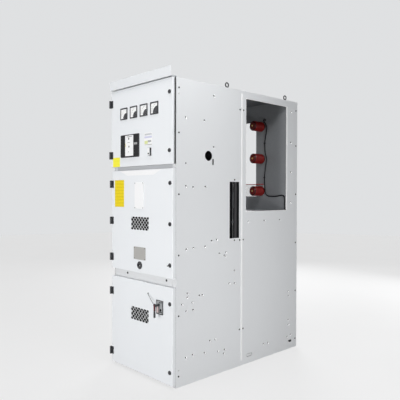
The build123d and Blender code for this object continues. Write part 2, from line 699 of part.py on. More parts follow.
def hinge_leaf(face, level):
    """Moving half of a hinge: a leaf on the door face and the middle of the barrel."""
    x, y = hinge_axis(face)
    third = HINGE_HEIGHT / 3
    knuckle = barrel(face, level - third / 2, third, HINGE_PIN_RADIUS + HINGE_PIN_CLEARANCE)
    leaf = block(
        (-WIDTH / 2, -WIDTH / 2 + HINGE_LEAF_WIDTH),
        (face - HINGE_LEAF_THICKNESS, face),
        (level - HINGE_HEIGHT / 2, level + HINGE_HEIGHT / 2),
    )
    leaf -= clearance_bore(face, level)
    arm = block((x, -WIDTH / 2 + HINGE_LEAF_WIDTH / 2), (y, face), (level - third / 2, level + third / 2))
    arm -= barrel(face, level - third, 2 * third, 0)
    return leaf + arm + knuckle


def clearance_bore(face, level):
    """Room round the whole barrel of a hinge."""
    x, y = hinge_axis(face)
    plane = Plane((x, y, level - HINGE_HEIGHT / 2))
    return extrude(plane * Circle(HINGE_BARREL_RADIUS + HINGE_KNUCKLE_GAP), HINGE_HEIGHT)


def hinge_bracket(face, level):
    """Fixed half of a hinge: side leaf, two barrel ends and the pin through them."""
    x, y = hinge_axis(face)
    third = HINGE_HEIGHT / 3
    end_height = third - HINGE_KNUCKLE_GAP
    low = level - HINGE_HEIGHT / 2
    high = level + HINGE_HEIGHT / 2 - end_height
    inner = -WIDTH / 2
    leaf = block((inner - HINGE_SIDE_THICKNESS, inner), (FRONT, FRONT + HINGE_SIDE_LEAF), (low, low + HINGE_HEIGHT))
    bracket = leaf
    for start in (low, high):
        bracket += block((inner - HINGE_SIDE_THICKNESS, inner - HINGE_KNUCKLE_GAP), (y, FRONT), (start, start + end_height))
        bracket += barrel(face, start, end_height, 0)
    pin = extrude(Plane((x, y, low)) * Circle(HINGE_PIN_RADIUS), HINGE_HEIGHT)
    return bracket + pin


def instrument_cutout(x, level, width, height, face):
    """Rectangular cut through a door face for the body of an instrument."""
    grow = 2 * METER_CUTOUT_CLEARANCE
    return block(
        (x - width / 2 - grow / 2, x + width / 2 + grow / 2),
        (face - DOOR_SHEET, face + 2 * DOOR_SHEET),
        (level - height / 2 - grow / 2, level + height / 2 + grow / 2),
    )


def meter_places():
    """Centres of the meters along the row."""
    first = METER_ROW_CENTRE - METER_PITCH * (METER_COUNT - 1) / 2
    return [first + METER_PITCH * index for index in range(METER_COUNT)]


def meter(x):
    """Square panel meter: bezel with a sunk glass, and the body behind the door."""
    face = UPPER_DOOR_FACE
    bezel = facing_plate(x, METER_LEVEL, METER_SIZE, METER_SIZE, METER_CORNER_RADIUS, face - METER_BEZEL, face)
    glass = METER_SIZE - 2 * METER_RIM
    front = face - METER_BEZEL
    bezel -= facing_plate(x, METER_LEVEL, glass, glass, METER_CORNER_RADIUS, front, front + METER_GLASS_SINK)
    half = METER_BODY / 2
    body = block((x - half, x + half), (face, face + METER_BODY_DEPTH), (METER_LEVEL - half, METER_LEVEL + half))
    return bezel + body


def protection_relay():
    """Wide relay: bezel in front of the door and its case behind."""
    face = UPPER_DOOR_FACE
    bezel = facing_plate(
        RELAY_X, RELAY_LEVEL, RELAY_WIDTH, RELAY_HEIGHT, RELAY_CORNER_RADIUS, face - RELAY_BEZEL, face
    )
    bezel = chamfer(bezel.faces().sort_by(Axis.Y)[0].edges(), RELAY_BEVEL)
    half_x = RELAY_WIDTH / 2 - RELAY_BODY_INSET
    half_z = RELAY_HEIGHT / 2 - RELAY_BODY_INSET
    body = block(
        (RELAY_X - half_x, RELAY_X + half_x),
        (face, face + RELAY_BODY_DEPTH),
        (RELAY_LEVEL - half_z, RELAY_LEVEL + half_z),
    )
    return bezel + body


def controller():
    """Small humidity controller that stands on the face of the upper door."""
    face = UPPER_DOOR_FACE
    box = facing_plate(
        CONTROLLER_X,
        CONTROLLER_LEVEL,
        CONTROLLER_WIDTH,
        CONTROLLER_HEIGHT,
        CONTROLLER_CORNER_RADIUS,
        face - CONTROLLER_PROUD,
        face,
    )
    return fillet(box.faces().sort_by(Axis.Y)[0].edges(), CONTROLLER_EDGE_RADIUS)


def door_seal():
    """Rubber seal round the back of the upper door."""
    half = WIDTH / 2 - DOOR_SHEET
    back = FRONT - UPPER_DOOR_GAP
    y = (back - UPPER_DOOR_SEAL_DEPTH, back)
    bottom = UPPER_DOOR_BOTTOM + DOOR_SHEET
    top = UPPER_DOOR_TOP - DOOR_SHEET
    ring = block((-half, half), y, (bottom, top))
    grip = UPPER_DOOR_SEAL_WIDTH
    return ring - block((-half + grip, half - grip), y, (bottom + grip, top - grip))


def upper_door():
    """Upper door with the cut-outs for its instruments and locks."""
    face = UPPER_DOOR_FACE
    door = door_tray(UPPER_DOOR_BOTTOM, UPPER_DOOR_TOP, face, UPPER_DOOR_TRAY_DEPTH, DOOR_LIP)
    for x in meter_places():
        door -= instrument_cutout(x, METER_LEVEL, METER_BODY, METER_BODY, face)
    relay_width = RELAY_WIDTH - 2 * RELAY_BODY_INSET
    relay_height = RELAY_HEIGHT - 2 * RELAY_BODY_INSET
    door -= instrument_cutout(RELAY_X, RELAY_LEVEL, relay_width, relay_height, face)
    for level in spread_levels(UPPER_DOOR_BOTTOM, UPPER_DOOR_TOP, UPPER_LOCK_ENDS, 2):
        door -= lock_hole(face, level)
    return door


def vent_hole(level):
    """Opening in a door for a vent grille."""
    return block(
        (FITTINGS_X - VENT_WIDTH / 2, FITTINGS_X + VENT_WIDTH / 2),
        (DOOR_FACE - DOOR_SHEET, DOOR_FACE + 2 * DOOR_SHEET),
        (level - VENT_HEIGHT / 2, level + VENT_HEIGHT / 2),
    )


def vent_grille(level):
    """Grille of diamond holes in staggered rows, behind the opening of a door."""
    front = DOOR_FACE + DOOR_SHEET
    plane = Plane((FITTINGS_X, front, level), x_dir=(1, 0, 0), z_dir=(0, -1, 0))
    sheet = Rectangle(VENT_WIDTH + 2 * VENT_FLANGE, VENT_HEIGHT + 2 * VENT_FLANGE)
    half_w = VENT_HOLE_WIDTH / 2
    half_h = VENT_HOLE_HEIGHT / 2
    diamond = make_face(Polyline((half_w, 0), (0, half_h), (-half_w, 0), (0, -half_h), close=True))
    places = mesh_places()
    holes = [Pos(x, z) * diamond for x, z in places]
    return extrude(plane * (sheet - holes), -VENT_GRILLE_THICKNESS)


def mesh_places():
    """Centres of the diamond holes, each row shifted half a pitch from the last."""
    places = []
    for row in range(VENT_MESH_ROWS):
        z = (row - (VENT_MESH_ROWS - 1) / 2) * VENT_MESH_PITCH_Z / 2
        shift = VENT_MESH_PITCH_X / 4 if row % 2 else -VENT_MESH_PITCH_X / 4
        for column in range(VENT_MESH_COLUMNS):
            x = (column - (VENT_MESH_COLUMNS - 1) / 2) * VENT_MESH_PITCH_X + shift
            places.append((x, z))
    return places


def middle_door():
    """Middle door with its vent opening, crank hole and lock holes."""
    door = door_tray(MIDDLE_DOOR_BOTTOM, MIDDLE_DOOR_TOP, DOOR_FACE, DOOR_TRAY_DEPTH, DOOR_LIP)
    door -= vent_hole(MIDDLE_VENT_LEVEL)
    plane = Plane((CRANK_SOCKET_X, DOOR_FACE - DOOR_SHEET, CRANK_SOCKET_LEVEL), x_dir=(1, 0, 0), z_dir=(0, 1, 0))
    sleeve_radius = CRANK_HOLE_RADIUS + CRANK_SLEEVE_WALL
    door -= extrude(plane * Circle(sleeve_radius + LOCK_HOLE_CLEARANCE), 3 * DOOR_SHEET)
    for level in spread_levels(MIDDLE_DOOR_BOTTOM, MIDDLE_DOOR_TOP, MIDDLE_LOCK_ENDS, 3):
        door -= lock_hole(DOOR_FACE, level)
    return door


def window_cover():
    """White cover plate over the inspection window, with bevelled edges."""
    plate = facing_plate(
        WINDOW_COVER_X,
        WINDOW_COVER_LEVEL,
        WINDOW_COVER_WIDTH,
        WINDOW_COVER_HEIGHT,
        WINDOW_COVER_CORNER,
        DOOR_FACE - WINDOW_COVER_THICKNESS,
        DOOR_FACE,
    )
    return chamfer(plate.faces().sort_by(Axis.Y)[0].edges(), WINDOW_COVER_BEVEL)


def blank_plate():
    """Bare grey plate below the vent of the middle door."""
    front = DOOR_FACE - PLATE_THICKNESS
    return facing_plate(FITTINGS_X, PLATE_LEVEL, PLATE_WIDTH, PLATE_HEIGHT, PLATE_CORNER_RADIUS, front, DOOR_FACE)


def crank_socket():
    """Ring round the hole for the crank, with a sleeve through the door."""
    profile = [
        (CRANK_HOLE_RADIUS, CRANK_SLEEVE_LENGTH),
        (CRANK_HOLE_RADIUS, -CRANK_SOCKET_PROUD),
        (CRANK_SOCKET_RADIUS - CRANK_SOCKET_BEVEL, -CRANK_SOCKET_PROUD),
        (CRANK_SOCKET_RADIUS, -CRANK_SOCKET_PROUD + CRANK_SOCKET_BEVEL),
        (CRANK_SOCKET_RADIUS, 0),
        (CRANK_HOLE_RADIUS + CRANK_SLEEVE_WALL, 0),
        (CRANK_HOLE_RADIUS + CRANK_SLEEVE_WALL, CRANK_SLEEVE_LENGTH),
    ]
    ring = revolve(make_face(Polyline(*profile, close=True)), Axis.Y)
    return Pos(CRANK_SOCKET_X, DOOR_FACE, CRANK_SOCKET_LEVEL) * ring


def lower_door():
    """Lower door with its vent opening, interlock shaft hole and lock holes."""
    door = door_tray(LOWER_DOOR_BOTTOM, LOWER_DOOR_TOP, DOOR_FACE, DOOR_TRAY_DEPTH, DOOR_LIP)
    door -= vent_hole(LOWER_VENT_LEVEL)
    for level in spread_levels(LOWER_DOOR_BOTTOM, LOWER_DOOR_TOP, LOWER_LOCK_ENDS, 2):
        door -= lock_hole(DOOR_FACE, level)
    return door


def handle_axis():
    """Centre of the handle shaft, as x and z."""
    return (INTERLOCK_X + HANDLE_SHAFT_X, INTERLOCK_LEVEL + HANDLE_SHAFT_LEVEL)


def interlock_plate():
    """Plate of the door interlock with the bearing hole of its handle."""
    front = DOOR_FACE - INTERLOCK_PROUD
    plate = facing_plate(
        INTERLOCK_X, INTERLOCK_LEVEL, INTERLOCK_WIDTH, INTERLOCK_HEIGHT, INTERLOCK_CORNER_RADIUS, front, DOOR_FACE
    )
    plate = chamfer(plate.faces().sort_by(Axis.Y)[0].edges(), INTERLOCK_BEVEL)
    x, z = handle_axis()
    plane = Plane((x, front, z), x_dir=(1, 0, 0), z_dir=(0, 1, 0))
    return plate - extrude(plane * Circle(HANDLE_SHAFT_RADIUS + HANDLE_SHAFT_CLEARANCE), INTERLOCK_PROUD)


def interlock_handle():
    """Handle: shaft in the plate, hub, and a bar that hangs down in front."""
    x, z = handle_axis()
    front = DOOR_FACE - INTERLOCK_PROUD
    plane = Plane((x, DOOR_FACE - HANDLE_HUB_GAP, z), x_dir=(1, 0, 0), z_dir=(0, -1, 0))
    shaft = extrude(plane * Circle(HANDLE_SHAFT_RADIUS), INTERLOCK_PROUD + HANDLE_REACH)
    hub_plane = Plane((x, front - HANDLE_HUB_GAP, z), x_dir=(1, 0, 0), z_dir=(0, -1, 0))
    hub = extrude(hub_plane * Circle(HANDLE_HUB_RADIUS), HANDLE_REACH)
    bar_front = front - HANDLE_HUB_GAP - HANDLE_REACH
    bar = block(
        (x - HANDLE_BAR_WIDTH / 2, x + HANDLE_BAR_WIDTH / 2),
        (bar_front, bar_front + HANDLE_BAR_THICKNESS),
        (z + HANDLE_BAR_ABOVE - HANDLE_BAR_LENGTH, z + HANDLE_BAR_ABOVE),
    )
    bar = fillet(bar.edges().filter_by(Axis.Y), HANDLE_BAR_ROUNDING)
    return shaft + hub + bar


def shutter_rail():
    """Folded rail on the inside of the right side panel, ahead of the middle wall."""
    y = MID_WALL_FRONT - SHUTTER_RAIL_AHEAD
    points = [
        (SIDE_INSIDE - SHUTTER_RAIL_DEPTH, y),
        (SIDE_INSIDE, y),
        (SIDE_INSIDE, y + SHUTTER_RAIL_WIDTH),
        (SIDE_INSIDE - SHUTTER_RAIL_DEPTH, y + SHUTTER_RAIL_WIDTH),
    ]
    return folded(points, Plane.XY.offset(SHUTTER_RAIL_BOTTOM), SHUTTER_RAIL_LENGTH)


def write(name, shape):
    """Write one node as a STEP file, from one solid or a list of solids that don't touch."""
    solids = shape if isinstance(shape, list) else [shape]
    bodies = [body for solid in solids for body in solid.solids()]
    export_step(bodies[0] if len(bodies) == 1 else Compound(children=bodies), f"parts/{name}.step")


def main():
    """Build each node and write it."""
    os.makedirs("parts", exist_ok=True)
    for name, panel in (("front_side_panel", front_side_panel()), ("rear_side_panel", rear_side_panel())):
        right, left = both_sides(panel)
        write(f"right_{name}", right)
        write(f"left_{name}", left)
    write("joint_strips", both_sides(joint_strip()))

    front_posts = both_sides(corner_post())
    write("corner_posts", front_posts + [mirror(post, Plane.XZ) for post in front_posts])
    write("middle_posts", both_sides(middle_post()))
    write("front_base_rail", front_rail(BASE_SHEET, BASE_SHEET + BASE_RAIL_HEIGHT))
    write("middle_crossbar", front_rail(MIDDLE_BAR_BOTTOM, MIDDLE_BAR_TOP))
    write("upper_crossbar", front_rail(UPPER_BAR_BOTTOM, UPPER_BAR_TOP))
    write("front_top_rail", front_rail(ROOF_UNDERSIDE - TOP_RAIL_HEIGHT, ROOF_UNDERSIDE))
    write("rear_top_rail", rear_top_rail())

    write("base_plate", block((-SIDE_INSIDE, SIDE_INSIDE), (FRONT, REAR), (0, BASE_SHEET)))
    roof = block((-SIDE_INSIDE, SIDE_INSIDE), (FRONT, REAR), (ROOF_UNDERSIDE, HEIGHT))
    write("roof_plate", roof)
    write("relief_flaps", relief_flaps())
    eye_places = (FRONT + EYE_FRONT_DISTANCE, REAR - EYE_REAR_DISTANCE)
    eyes = [lifting_eye(WIDTH / 2 - EYE_SIDE_DISTANCE, y) for y in eye_places]
    write("lifting_eyes", [eye for right_eye in eyes for eye in both_sides(right_eye)])
    write("header_plate", header_plate())

    front_edge = FRONT + RAIL_DEPTH
    instrument_back = FRONT + INSTRUMENT_BOX_DEPTH
    write("instrument_floor", inner_floor(INSTRUMENT_FLOOR_LEVEL, front_edge, instrument_back))
    write("instrument_back", inner_wall(instrument_back, INSTRUMENT_FLOOR_LEVEL, ROOF_UNDERSIDE))
    write("breaker_floor", inner_floor(BREAKER_FLOOR_LEVEL, front_edge, MID_WALL_FRONT))
    write("middle_wall", inner_wall(MID_WALL_FRONT, BASE_SHEET, ROOF_UNDERSIDE))
    write("busbar_floor", inner_floor(BUSBAR_FLOOR_LEVEL, MID_WALL_BACK, REAR))
    write("busbar_wall", busbar_wall())
    write("barrier_sheet", barrier_sheet())
    write("post_insulators", [insulator(level) for level in insulator_levels()])
    write("sensor_lead", sensor_lead())
    stops = lead_stops()
    wall_gland = gland(Plane(origin=stops[0], z_dir=(0, -1, 0)))
    floor_gland = gland(Plane(origin=stops[-1], z_dir=(0, 0, 1)))
    write("lead_glands", [wall_gland, floor_gland])
    write("shutter_rails", both_sides(shutter_rail()))
    write("rear_cover", rear_cover())

    write("upper_door", upper_door())
    write("upper_door_seal", door_seal())
    write("panel_meters", [meter(x) for x in meter_places()])
    write("protection_relay", protection_relay())
    write("humidity_controller", controller())
    write("middle_door", middle_door())
    write("middle_vent_grille", vent_grille(MIDDLE_VENT_LEVEL))
    write("window_cover", window_cover())
    write("blank_plate", blank_plate())
    write("crank_socket", crank_socket())
    write("lower_door", lower_door())
    write("lower_vent_grille", vent_grille(LOWER_VENT_LEVEL))
    write("interlock_plate", interlock_plate())
    write("interlock_handle", interlock_handle())

    doors = (
        ("upper", UPPER_DOOR_BOTTOM, UPPER_DOOR_TOP, UPPER_DOOR_FACE, UPPER_HINGE_ENDS, UPPER_LOCK_ENDS, 2),
        ("middle", MIDDLE_DOOR_BOTTOM, MIDDLE_DOOR_TOP, DOOR_FACE, MIDDLE_HINGE_ENDS, MIDDLE_LOCK_ENDS, 3),
        ("lower", LOWER_DOOR_BOTTOM, LOWER_DOOR_TOP, DOOR_FACE, LOWER_HINGE_ENDS, LOWER_LOCK_ENDS, 2),
    )
    for name, bottom, top, face, hinge_ends, lock_ends, count in doors:
        hinges = spread_levels(bottom, top, hinge_ends, count)
        write(f"{name}_hinge_leaves", [hinge_leaf(face, level) for level in hinges])
        write(f"{name}_hinge_brackets", [hinge_bracket(face, level) for level in hinges])
        write(f"{name}_door_locks", [lock(face, level) for level in spread_levels(bottom, top, lock_ends, count)])
        print(name, "hinge axis", hinge_axis(face))


main()
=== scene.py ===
import logging
import math
from dataclasses import dataclass
from enum import Enum
from typing import Any, Callable, Iterable, Sequence

import bpy
from mathutils import Matrix, Vector


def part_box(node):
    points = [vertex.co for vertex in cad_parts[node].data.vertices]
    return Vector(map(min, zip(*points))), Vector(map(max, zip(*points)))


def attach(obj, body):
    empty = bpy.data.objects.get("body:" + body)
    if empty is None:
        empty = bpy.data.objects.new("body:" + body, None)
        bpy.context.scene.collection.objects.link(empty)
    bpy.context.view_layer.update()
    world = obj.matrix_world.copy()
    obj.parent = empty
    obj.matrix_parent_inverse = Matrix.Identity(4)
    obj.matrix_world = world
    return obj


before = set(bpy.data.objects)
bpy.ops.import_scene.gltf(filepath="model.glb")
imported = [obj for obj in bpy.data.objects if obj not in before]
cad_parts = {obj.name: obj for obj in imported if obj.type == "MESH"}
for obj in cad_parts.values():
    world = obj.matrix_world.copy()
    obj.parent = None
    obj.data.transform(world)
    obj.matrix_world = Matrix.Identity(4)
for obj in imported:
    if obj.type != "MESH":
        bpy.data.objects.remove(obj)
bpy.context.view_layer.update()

LOG = logging.getLogger("cabinet")
MM = 0.001
SQUARE_ON = 0.9  # Least share of a normal along an axis for a face to look that way
TOUCH = 1e-6  # Slack within which two levels are the same, in metres
LEVEL_EDGE = 1e-7  # Least run along an axis for an edge to lie along it, in metres
Point = tuple[float, float, float]
Colour = tuple[float, float, float]
Spot = tuple[float, float]
FaceTest = Callable[[bpy.types.MeshPolygon], bool]
EdgeTest = Callable[[Vector, Vector], bool]


# Shader expressions

class Signal:
    """One output of a node, with arithmetic that adds Math nodes."""

    def __init__(self, shader: "Shader", socket: bpy.types.NodeSocket) -> None:
        """Keep the shader and the socket.

        Args:
            shader: The shader the socket belongs to.
            socket: The output socket that carries the value.
        """
        self.shader = shader
        self.socket = socket

    def _math(self, operation: str, first: "Signal | float", second: "Signal | float") -> "Signal":
        """Join two values with a Math node.

        Args:
            operation: The Math node's operation.
            first: The first value.
            second: The second value.

        Returns:
            The result.
        """
        node = self.shader.node("ShaderNodeMath", {"operation": operation}, {0: first, 1: second})
        return Signal(self.shader, node.outputs[0])

    def __add__(self, other: "Signal | float") -> "Signal":
        """Sum."""
        return self._math("ADD", self, other)

    def __radd__(self, other: float) -> "Signal":
        """Sum with a number on the left."""
        return self._math("ADD", other, self)

    def __sub__(self, other: "Signal | float") -> "Signal":
        """Difference."""
        return self._math("SUBTRACT", self, other)

    def __rsub__(self, other: float) -> "Signal":
        """Difference from a number on the left."""
        return self._math("SUBTRACT", other, self)

    def __mul__(self, other: "Signal | float") -> "Signal":
        """Product."""
        return self._math("MULTIPLY", self, other)

    def __rmul__(self, other: float) -> "Signal":
        """Product with a number on the left."""
        return self._math("MULTIPLY", other, self)

    def __gt__(self, other: "Signal | float") -> "Signal":
        """One where this value is greater."""
        return self._math("GREATER_THAN", self, other)

    def __lt__(self, other: "Signal | float") -> "Signal":
        """One where this value is less."""
        return self._math("LESS_THAN", self, other)

    def repeat(self, period: float) -> "Signal":
        """Distance into a repeating period."""
        return self._math("MODULO", self + 1000.0 * period, period)

    def size(self) -> "Signal":
        """The value without its sign."""
        return self._math("ABSOLUTE", self, 0.0)


class Shader:
    """A material's node tree, built from expressions on Object coordinates."""

    def __init__(self, name: str) -> None:
        """Start a material with only its output and shader.

        Args:
            name: The material's name.
        """
        self.material = bpy.data.materials.new(name)
        self.material.use_nodes = True
        self.tree = self.material.node_tree
        self.tree.nodes.clear()
        self.output = self.node("ShaderNodeOutputMaterial")
        self.coordinates = self.node("ShaderNodeTexCoord").outputs["Object"]

    def node(
        self, kind: str, settings: dict[str, Any] | None = None, sockets: dict[Any, Any] | None = None
    ) -> bpy.types.Node:
        """Add a node, with its settings first and then its sockets.

        Args:
            kind: The node's type.
            settings: Attributes of the node; "stops" are a ramp's positions and colours.
            sockets: Socket index, identifier or name to a value or a link.

        Returns:
            The new node.
        """
        node = self.tree.nodes.new(kind)
        for key, setting in (settings or {}).items():
            if key == "stops":
                self._set_stops(node.color_ramp, setting)
            else:
                setattr(node, key, setting)
        for key, value in (sockets or {}).items():
            target = node.inputs[key] if isinstance(key, int) else self._find(node, key)
            if isinstance(value, Signal):
                value = value.socket
            if isinstance(value, bpy.types.NodeSocket):
                self.tree.links.new(value, target)
            else:
                target.default_value = value
        return node

    @staticmethod
    def _set_stops(ramp: bpy.types.ColorRamp, stops: Sequence[tuple[float, float]]) -> None:
        """Give a ramp its grey stops."""
        while len(ramp.elements) < len(stops):
            ramp.elements.new(0.5)
        for element, (position, grey) in zip(ramp.elements, stops):
            element.position = position
            element.color = (grey, grey, grey, 1.0)

    @staticmethod
    def _find(node: bpy.types.Node, key: str) -> bpy.types.NodeSocket:
        """Find an input by its identifier or its name."""
        for socket in node.inputs:
            if socket.identifier == key:
                return socket
        return node.inputs[key]

    def axis(self, name: str) -> Signal:
        """One coordinate of the object, in metres."""
        node = self.node("ShaderNodeSeparateXYZ", {}, {0: self.coordinates})
        return Signal(self, node.outputs[name])

    def mapped(self, stretch: Point) -> bpy.types.NodeSocket:
        """Object coordinates stretched along each axis."""
        node = self.node("ShaderNodeMapping", {}, {"Vector": self.coordinates, "Scale": stretch})
        return node.outputs[0]

    def noise(self, scale: float, detail: float = 2.0, stretch: Point = (1.0, 1.0, 1.0)) -> Signal:
        """Noise over the object.

        Args:
            scale: Features per metre.
            detail: Octaves of finer noise.
            stretch: Stretch of the coordinates along each axis.

        Returns:
            A value round a half.
        """
        sockets = {"Vector": self.mapped(stretch), "Scale": scale, "Detail": detail}
        node = self.node("ShaderNodeTexNoise", {}, sockets)
        return Signal(self, node.outputs[0])

    def ramp(self, value: Signal, stops: Sequence[tuple[float, float]]) -> Signal:
        """Bend a value through grey stops."""
        node = self.node("ShaderNodeValToRGB", {"stops": stops}, {0: value})
        return Signal(self, node.outputs[0])

    def mix(self, factor: Signal, first: Any, second: Any) -> bpy.types.NodeSocket:
        """Mix two colours.

        Args:
            factor: Share of the second colour.
            first: Colour or link.
            second: Colour or link.

        Returns:
            The mixed colour.
        """
        sockets = {"Factor_Float": factor, "A_Color": _rgba(first), "B_Color": _rgba(second)}
        node = self.node("ShaderNodeMix", {"data_type": "RGBA"}, sockets)
        return node.outputs[2]

    def bump(self, height: Signal, depth: float, strength: float = 1.0) -> bpy.types.NodeSocket:
        """Bump from a height between nought and one.

        Args:
            height: The height.
            depth: Depth of the full height, in metres.
            strength: How strongly it shows.

        Returns:
            The normal.
        """
        node = self.node("ShaderNodeBump", {}, {"Height": height, "Distance": depth, "Strength": strength})
        return node.outputs[0]

    def finish(self, colour: Any, roughness: Any, normal: Any = None, **fixed: Any) -> bpy.types.Material:
        """Close the tree with a Principled shader.

        Args:
            colour: Base colour or link.
            roughness: Roughness or value.
            normal: Normal link, if any.
            **fixed: Constants of the shader, by socket name with underscores.

        Returns:
            The finished material.
        """
        sockets = {"Base Color": _rgba(colour), "Roughness": roughness}
        if normal is not None:
            sockets["Normal"] = normal
        for key, value in fixed.items():
            sockets[key.replace("_", " ")] = value
        surface = self.node("ShaderNodeBsdfPrincipled", {}, sockets)
        self.tree.links.new(surface.outputs[0], self.output.inputs[0])
        return self.material


def _rgba(colour: Any) -> Any:
    """A colour with its alpha, or the link as it is."""
    return (*colour, 1.0) if isinstance(colour, tuple) and len(colour) == 3 else colour


def tint(colour: Colour, share: float) -> Colour:
    """A colour with every channel scaled by a share."""
    return tuple(channel * share for channel in colour)


# Finishes

@dataclass(frozen=True)
class PowderCoat:
    """Powder-coated steel: fine orange peel, slow drift of tone and faint handling marks."""

    name: str
    colour: Colour
    roughness: float = 0.42
    peel: float = 0.00006
    drift: float = 0.03

    def surface(self, shader: Shader, paint: bpy.types.NodeSocket) -> bpy.types.NodeSocket:
        """The colour that shows, where the paint is the whole surface."""
        return paint

    def material(self) -> bpy.types.Material:
        """Build the coat."""
        shader = Shader(self.name)
        broad = shader.noise(1.6, 3.0)
        marks = shader.ramp(shader.noise(9.0, 6.0, (1.0, 1.0, 0.35)), ((0.52, 0.0), (0.75, 1.0)))
        tone = shader.mix(broad, self.colour, tint(self.colour, 1.0 - self.drift))
        paint = shader.mix(marks * 0.6, tone, tint(self.colour, 1.0 - 0.7 * self.drift))
        roughness = self.roughness + marks * 0.07 + broad * 0.04
        peel = shader.noise(420.0, 2.0) * 0.7 + shader.noise(1500.0, 1.0) * 0.3
        return shader.finish(self.surface(shader, paint), roughness, shader.bump(peel, self.peel))


@dataclass(frozen=True)
class LinedCoat(PowderCoat):
    """Powder-coated sheet with one bare, dull inner face, told apart by its place on an axis."""

    inside: Colour = (0.1, 0.1, 0.1)
    axis: str = "X"
    inner_face: float = 0.0
    face_tolerance: float = 0.6 * MM

    def surface(self, shader: Shader, paint: bpy.types.NodeSocket) -> bpy.types.NodeSocket:
        """Paint everywhere but on the bare inner face.

        Args:
            shader: The material's shader.
            paint: Colour of the painted faces.

        Returns:
            The colour that shows.
        """
        bare_face = (shader.axis(self.axis).size() - self.inner_face).size() < self.face_tolerance
        bare = shader.mix(shader.noise(70.0, 3.0), self.inside, tint(self.inside, 0.8))
        return shader.mix(bare_face, paint, bare)


@dataclass(frozen=True)
class CoatedSheet:
    """Zinc-coated sheet: cloudy spangle, faint rolling lines and a dull shine."""

    name: str
    colour: Colour
    roughness: float = 0.5
    metallic: float = 0.35

    def material(self) -> bpy.types.Material:
        """Build the sheet."""
        shader = Shader(self.name)
        settings = {"feature": "F1"}
        spangle = shader.node(
            "ShaderNodeTexVoronoi", settings, {"Vector": shader.mapped((1.0, 1.0, 1.0)), "Scale": 70.0}
        )
        flakes = shader.node("ShaderNodeSeparateColor", {}, {0: spangle.outputs["Color"]})
        flake = Signal(shader, flakes.outputs[0])
        cloud = shader.noise(4.0, 4.0)
        rolled = shader.noise(30.0, 2.0, (1.0, 1.0, 14.0))
        dark = tint(self.colour, 0.86)
        colour = shader.mix(flake * 0.35 + cloud * 0.5, self.colour, dark)
        roughness = self.roughness - 0.08 + flake * 0.1 + rolled * 0.06
        return shader.finish(colour, roughness, shader.bump(rolled, 0.00004), Metallic=self.metallic)


@dataclass(frozen=True)
class PlatedSteel:
    """Plated steel of screws, rings and plates: bright, with fine scratches."""

    name: str
    colour: Colour = (0.55, 0.55, 0.54)
    roughness: float = 0.32

    def material(self) -> bpy.types.Material:
        """Build the plating."""
        shader = Shader(self.name)
        scratch = shader.noise(260.0, 3.0, (1.0, 1.0, 0.2))
        stain = shader.ramp(shader.noise(45.0, 4.0), ((0.45, 0.0), (0.7, 1.0)))
        dull = tint(self.colour, 0.7)
        colour = shader.mix(stain * 0.5, self.colour, dull)
        roughness = self.roughness + scratch * 0.16
        return shader.finish(colour, roughness, shader.bump(scratch, 0.00003), Metallic=1.0)


@dataclass(frozen=True)
class MouldedPlastic:
    """Moulded plastic with a spark-eroded grain."""

    name: str
    colour: Colour
    roughness: float = 0.45
    grain: float = 0.00005
    gloss: float = 0.5

    def material(self) -> bpy.types.Material:
        """Build the plastic."""
        shader = Shader(self.name)
        grain = shader.noise(1400.0, 2.0)
        cloud = shader.noise(25.0, 3.0)
        pale = tuple(min(1.0, channel * 1.25 + 0.001) for channel in self.colour)
        colour = shader.mix(cloud * 0.7, self.colour, pale)
        roughness = self.roughness + grain * 0.12 - 0.05
        return shader.finish(colour, roughness, shader.bump(grain, self.grain), Specular_IOR_Level=self.gloss)


@dataclass(frozen=True)
class SoftRubber:
    """Dull rubber of seals and lead sheaths, with a dusty bloom."""

    name: str
    colour: Colour = (0.012, 0.012, 0.013)

    def material(self) -> bpy.types.Material:
        """Build the rubber."""
        shader = Shader(self.name)
        bloom = shader.ramp(shader.noise(40.0, 5.0), ((0.45, 0.0), (0.8, 1.0)))
        dusty = tuple(channel * 2.2 + 0.004 for channel in self.colour)
        colour = shader.mix(bloom * 0.5, self.colour, dusty)
        fine = shader.noise(900.0, 2.0)
        return shader.finish(colour, 0.62 + bloom * 0.15, shader.bump(fine, 0.00005), Specular_IOR_Level=0.12)


@dataclass(frozen=True)
class CastResin:
    """Glossy cast resin of the insulators, with painted shade that darkens the grooves between the ribs and
    leaves the ribs bright.
    """

    name: str
    colour: Colour = (0.27, 0.008, 0.006)
    pitch: float = 20.0 * MM

    def material(self) -> bpy.types.Material:
        """Build the resin."""
        shader = Shader(self.name)
        flow = shader.noise(18.0, 4.0, (1.0, 0.4, 1.0))
        dust = shader.ramp(shader.noise(55.0, 4.0), ((0.5, 0.0), (0.8, 1.0)))
        # Painted shade: the grooves between the ribs are darkened along Y, and the ribs keep the bright tone.
        groove_shading = shader.ramp(
            shader.axis("Y").repeat(self.pitch) * (1.0 / self.pitch),
            ((0.0, 0.5), (0.18, 1.0), (0.42, 1.0), (0.6, 0.0), (0.88, 0.0), (1.0, 0.5)),
        )
        deep = tint(self.colour, 0.12)
        clouded = tint(self.colour, 0.8)
        bright = shader.mix(flow, clouded, self.colour)
        tone = shader.mix(groove_shading, deep, bright)
        colour = shader.mix(dust * 0.05, tone, (0.45, 0.30, 0.27))
        return shader.finish(
            colour, 0.34 + dust * 0.2, shader.bump(flow, 0.0001), Specular_IOR_Level=0.3, Coat_Weight=0.05,
            Coat_Roughness=0.12,
        )


